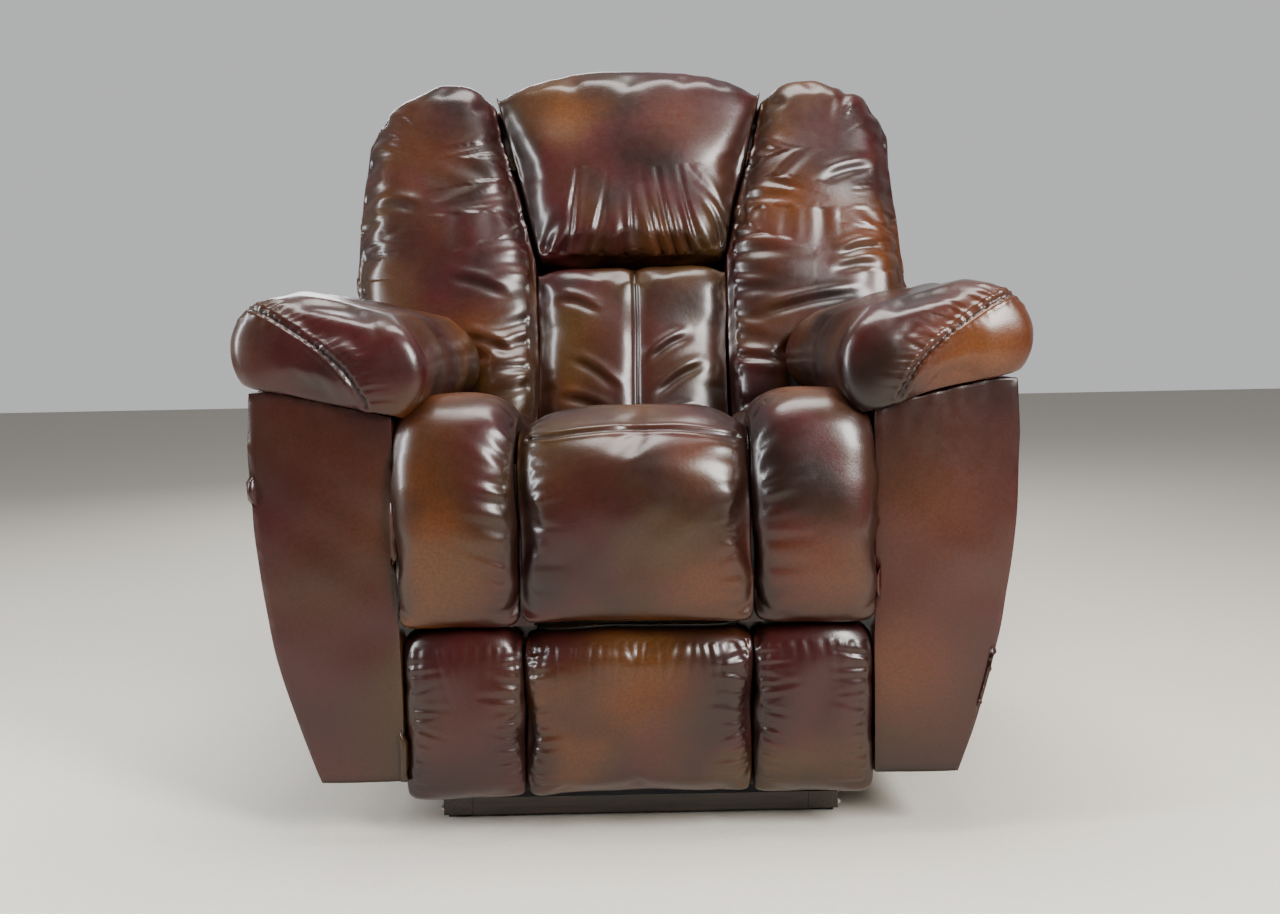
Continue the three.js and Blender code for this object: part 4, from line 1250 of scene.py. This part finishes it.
for name, side in SIDES:
    pad = back_pads[name]
    skin = Skin(pad, 80 + side)
    skin.lumps(0.15, 0.0025)
    inner = back_line(skin, CHANNEL_GATHERS, side)
    skin.pucker(inner, 0.085, 0.040, 0.0038, slant=-0.25, toward=(side, 0, 0), dark=0.3)
    outer = back_line(skin, EDGE_GATHERS, side)
    skin.pucker(outer, 0.050, 0.052, 0.0036, toward=(-side, 0, 0), dark=0.15)
    for *ends, depth in SIDE_CREASES[name]:
        skin.fold(crease_line(skin, *ends, 0.006, side), depth, 0.009, dark=0.35)
    skin.shade_channels(0.7)
    skin.done()
    if side > 0:
        tint(pad, "amber", (*on_back(0.27, 0.44), 0.06, 0.4), (*on_back(0.44, 0.40), 0.05, 0.4))
        tint(pad, "ruby", (*on_back(0.33, 0.58), 0.08, 0.5))
    else:
        tint(pad, "amber", (*on_back(-0.27, 0.24), 0.05, 0.45), (*on_back(-0.33, 0.55), 0.06, 0.3))
        tint(pad, "ruby", (*on_back(-0.34, 0.38), 0.10, 0.5))
    finish_piece(pad, side_leather, "back", "leather", f"{name}_back_pad")

head = rounded(bare_copy("head_cushion", "head_pillow"), 0.007, 24, back_stand,
               grow=((0.010, 0.002, 0), (0.010, 0, 0)))
pillowed(head, 0, lambda p: side_channel(p) + 0.010, 0.040)
swollen(head, 0.011)
pressed(head, y=(-FREE, BACK_FRAME_FRONT), z=(0.3695, FREE), stand=back_stand, x=(
    lambda p: CHANNEL - channel_at(p[:, 2]),
    lambda p: channel_at(p[:, 2]) - CHANNEL))
finer(head, 9)
skin = Skin(head, 91)
skin.lumps(0.14, 0.002)
foot = back_line(skin, ((-0.150, 0.388), (-0.08, 0.384), (0, 0.382), (0.08, 0.384),
                        (0.150, 0.388)))
skin.pucker(foot, 0.095, 0.034, 0.0055, fan=1.1, toward=(0, 0, 1), dark=0.35)
tuck = back_line(skin, ((0.004, 0.375), (0.004, 0.43), (0.002, 0.50)))
skin.seam(tuck, 0.0045, 0.006, lip=0.002, dark=0.35, fade=0.07)
skin.shade_channels()
skin.done()
tint(head, "amber", (*on_back(-0.11, 0.63), 0.05, 0.7), (*on_back(0.08, 0.62), 0.05, 0.3))
tint(head, "ruby", (*on_back(0.15, 0.55), 0.06, 0.5), (*on_back(-0.15, 0.50), 0.05, 0.5))
finish_piece(head, back_leather, "back", "leather", "head_pillow")

lumbar = rounded(bare_copy("lumbar_cushion", "lumbar_pad"), 0.007, 18, back_stand,
                 grow=((0.010, -0.006, 0), (0.010, 0, 0.008)))
pillowed(lumbar, 0, 0.174, 0.026)
swollen(lumbar, 0.008)
pressed(lumbar, x=(CHANNEL - LUMBAR_HALF, LUMBAR_HALF - CHANNEL), y=(-FREE, BACK_FRAME_FRONT),
        z=(-FREE, 0.3685), stand=back_stand)
finer(lumbar)
skin = Skin(lumbar, 93)
skin.lumps(0.12, 0.002)
parting = back_line(skin, ((0.005, 0.365), (0.006, 0.25), (0.004, 0.10), (0.004, -0.03)))
skin.seam(parting, 0.006, 0.0035, dark=0.9)
skin.seam(parting, 0.006, 0.016, dark=0.0)
LUMBAR_CREASES = (
    (0.020, 0.18, 0.110, 0.235), (0.030, 0.12, 0.135, 0.185), (-0.02, 0.13, -0.12, 0.20),
    (-0.03, 0.09, -0.14, 0.13), (0.02, 0.07, 0.12, 0.10), (-0.05, 0.27, -0.14, 0.30))
for ends in LUMBAR_CREASES:
    skin.fold(crease_line(skin, *ends, 0.008), 0.0035, 0.008)
skin.shade_channels()
skin.done()
tint(lumbar, "ruby", (*on_back(0.0, 0.16), 0.06, 0.8))
finish_piece(lumbar, back_leather, "back", "leather", "lumbar_pad")


# ------------------------------------------------------------------ back cover
# The outside of the back: leather over card and thin padding, drawn over the frame, with two long
# seams.

back_shell = bare_copy("back_cover_leather", "back_cover")
softened(back_shell, 0.006, 6)
skin = Skin(back_shell, 95)
skin.lumps(0.2, 0.0014)
BEHIND = 0.2
LONG_SEAM = ((0.20, 0.70), (0.19, 0.30), (0.19, -0.12))
for side in (-1, 1):
    long_seam = skin.path([on_back(side * x, up, BEHIND) for x, up in LONG_SEAM], along=-BACK_FACE)
    skin.seam(long_seam, 0.0025, 0.004, lip=0.001)
skin.done()
finish_piece(back_shell, body_leather, "back", "leather", "back_cover")


# ------------------------------------------------------------------ footrest
# A plywood board faced with three pads that match the seat's, gathered along their sides. Angle
# brackets on its rear carry the pins of the links.

dress(plywood("footrest_board_wood", 1, 0), "footrest_board")
dress(black_steel, *both("footrest_bracket"))
shin_leather = leather("footrest_leather", (4.1, 1.2, 0.6), 0.02)

BOARD_FACE = -0.3615
SHIN_HEM = 0.2855
centre_shin = rounded(bare_copy("centre_footrest_cushion", "centre_footrest_pad"), 0.006, 14,
                      grow=((0.008, -0.002, 0.005), (0.008, 0, 0.006)))
pillowed(centre_shin, 0, CENTRE_HALF, 0.024)
swollen(centre_shin, 0.008)
pressed(centre_shin, x=CENTRE_ACROSS, y=(-FREE, BOARD_FACE), z=(-FREE, SHIN_HEM))
finer(centre_shin)
left_shin = rounded(bare_copy("left_footrest_cushion", "left_footrest_pad"), 0.006, 16,
                    grow=((0.008, -0.002, 0.005), (0.012, 0, 0.006)))
pillowed(left_shin, OUTER_MIDDLE, OUTER_HALF, 0.028)
swollen(left_shin, 0.008)
pressed(left_shin, x=(SEAT_SIDE + CHANNEL, BETWEEN_ARMS), y=(-FREE, BOARD_FACE),
        z=(-FREE, SHIN_HEM))
finer(left_shin)
right_shin = other_side(left_shin, "right_footrest_cushion")
SHIN_PADS = (
    # name, pad, where its gathers start and end across
    ("left", left_shin, 0.158, 0.292),
    ("right", right_shin, -0.292, -0.158),
    ("centre", centre_shin, -0.140, 0.140),
)
for order, (name, pad, x0, x1) in enumerate(SHIN_PADS):
    skin = Skin(pad, 100 + order)
    skin.lumps(0.10, 0.0014)
    top = skin.path([(x0 + 0.01, -0.42, 0.262), ((x0 + x1) / 2, -0.42, 0.266),
                     (x1 - 0.01, -0.42, 0.262)], along=AHEAD)
    skin.pucker(top, 0.045, 0.014, 0.0011, toward=(0, 0, -1), dark=0.2)
    for x, way in ((x0, 1), (x1, -1)):
        edge = skin.path([(x, -0.42, 0.25), (x, -0.435, 0.17), (x, -0.425, 0.09)])
        skin.pucker(edge, 0.030, 0.015, 0.0018, toward=(way, 0, 0), dark=0.3)
    skin.shade_channels()
    skin.done()
    tint(pad, "amber" if name == "centre" else "ruby", ((x0 + x1) / 2, -0.43, 0.21, 0.07, 0.6))
    finish_piece(pad, shin_leather, "footrest", "leather", f"{name}_footrest_pad")

SHIN_STRIP_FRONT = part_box("footrest_board")[0].y - 0.012
for name, side in SIDES:
    add_backing(f"{name}_footrest_channel", side * SEAT_SIDE, SHIN_STRIP_FRONT, 0.072, 0.280, "footrest")


# ------------------------------------------------------------------ footrest links
# Flat zinc-plated steel links that turn on steel pins, and the long shaft that the handle turns.

link_steel, shader, place = material("plated_link_steel", Metallic=1.0)
brush = place.scaled((400, 30, 30)).noise(1.5, 6, 0.6)
spots = place.noise(55, 6, 0.6)
paint(shader,
      Base_Color=spots.step(0.5, 0.75).mix((0.55, 0.54, 0.50), (0.36, 0.33, 0.27)),
      Roughness=brush * 0.2 + spots * 0.15 + 0.2,
      Normal=bump(place, brush, 0.0002, 0.4))
for link in ("rear_link", "front_link", "control_link", "board_link"):
    dress(link_steel, *both(link))
dress(link_steel, "drive_shaft")


# ------------------------------------------------------------------ handle
# A stained lever on the end of the release shaft, which passes through a round nylon collar.

dress(stained_wood, "handle")
dress(nylon, "handle_escutcheon")
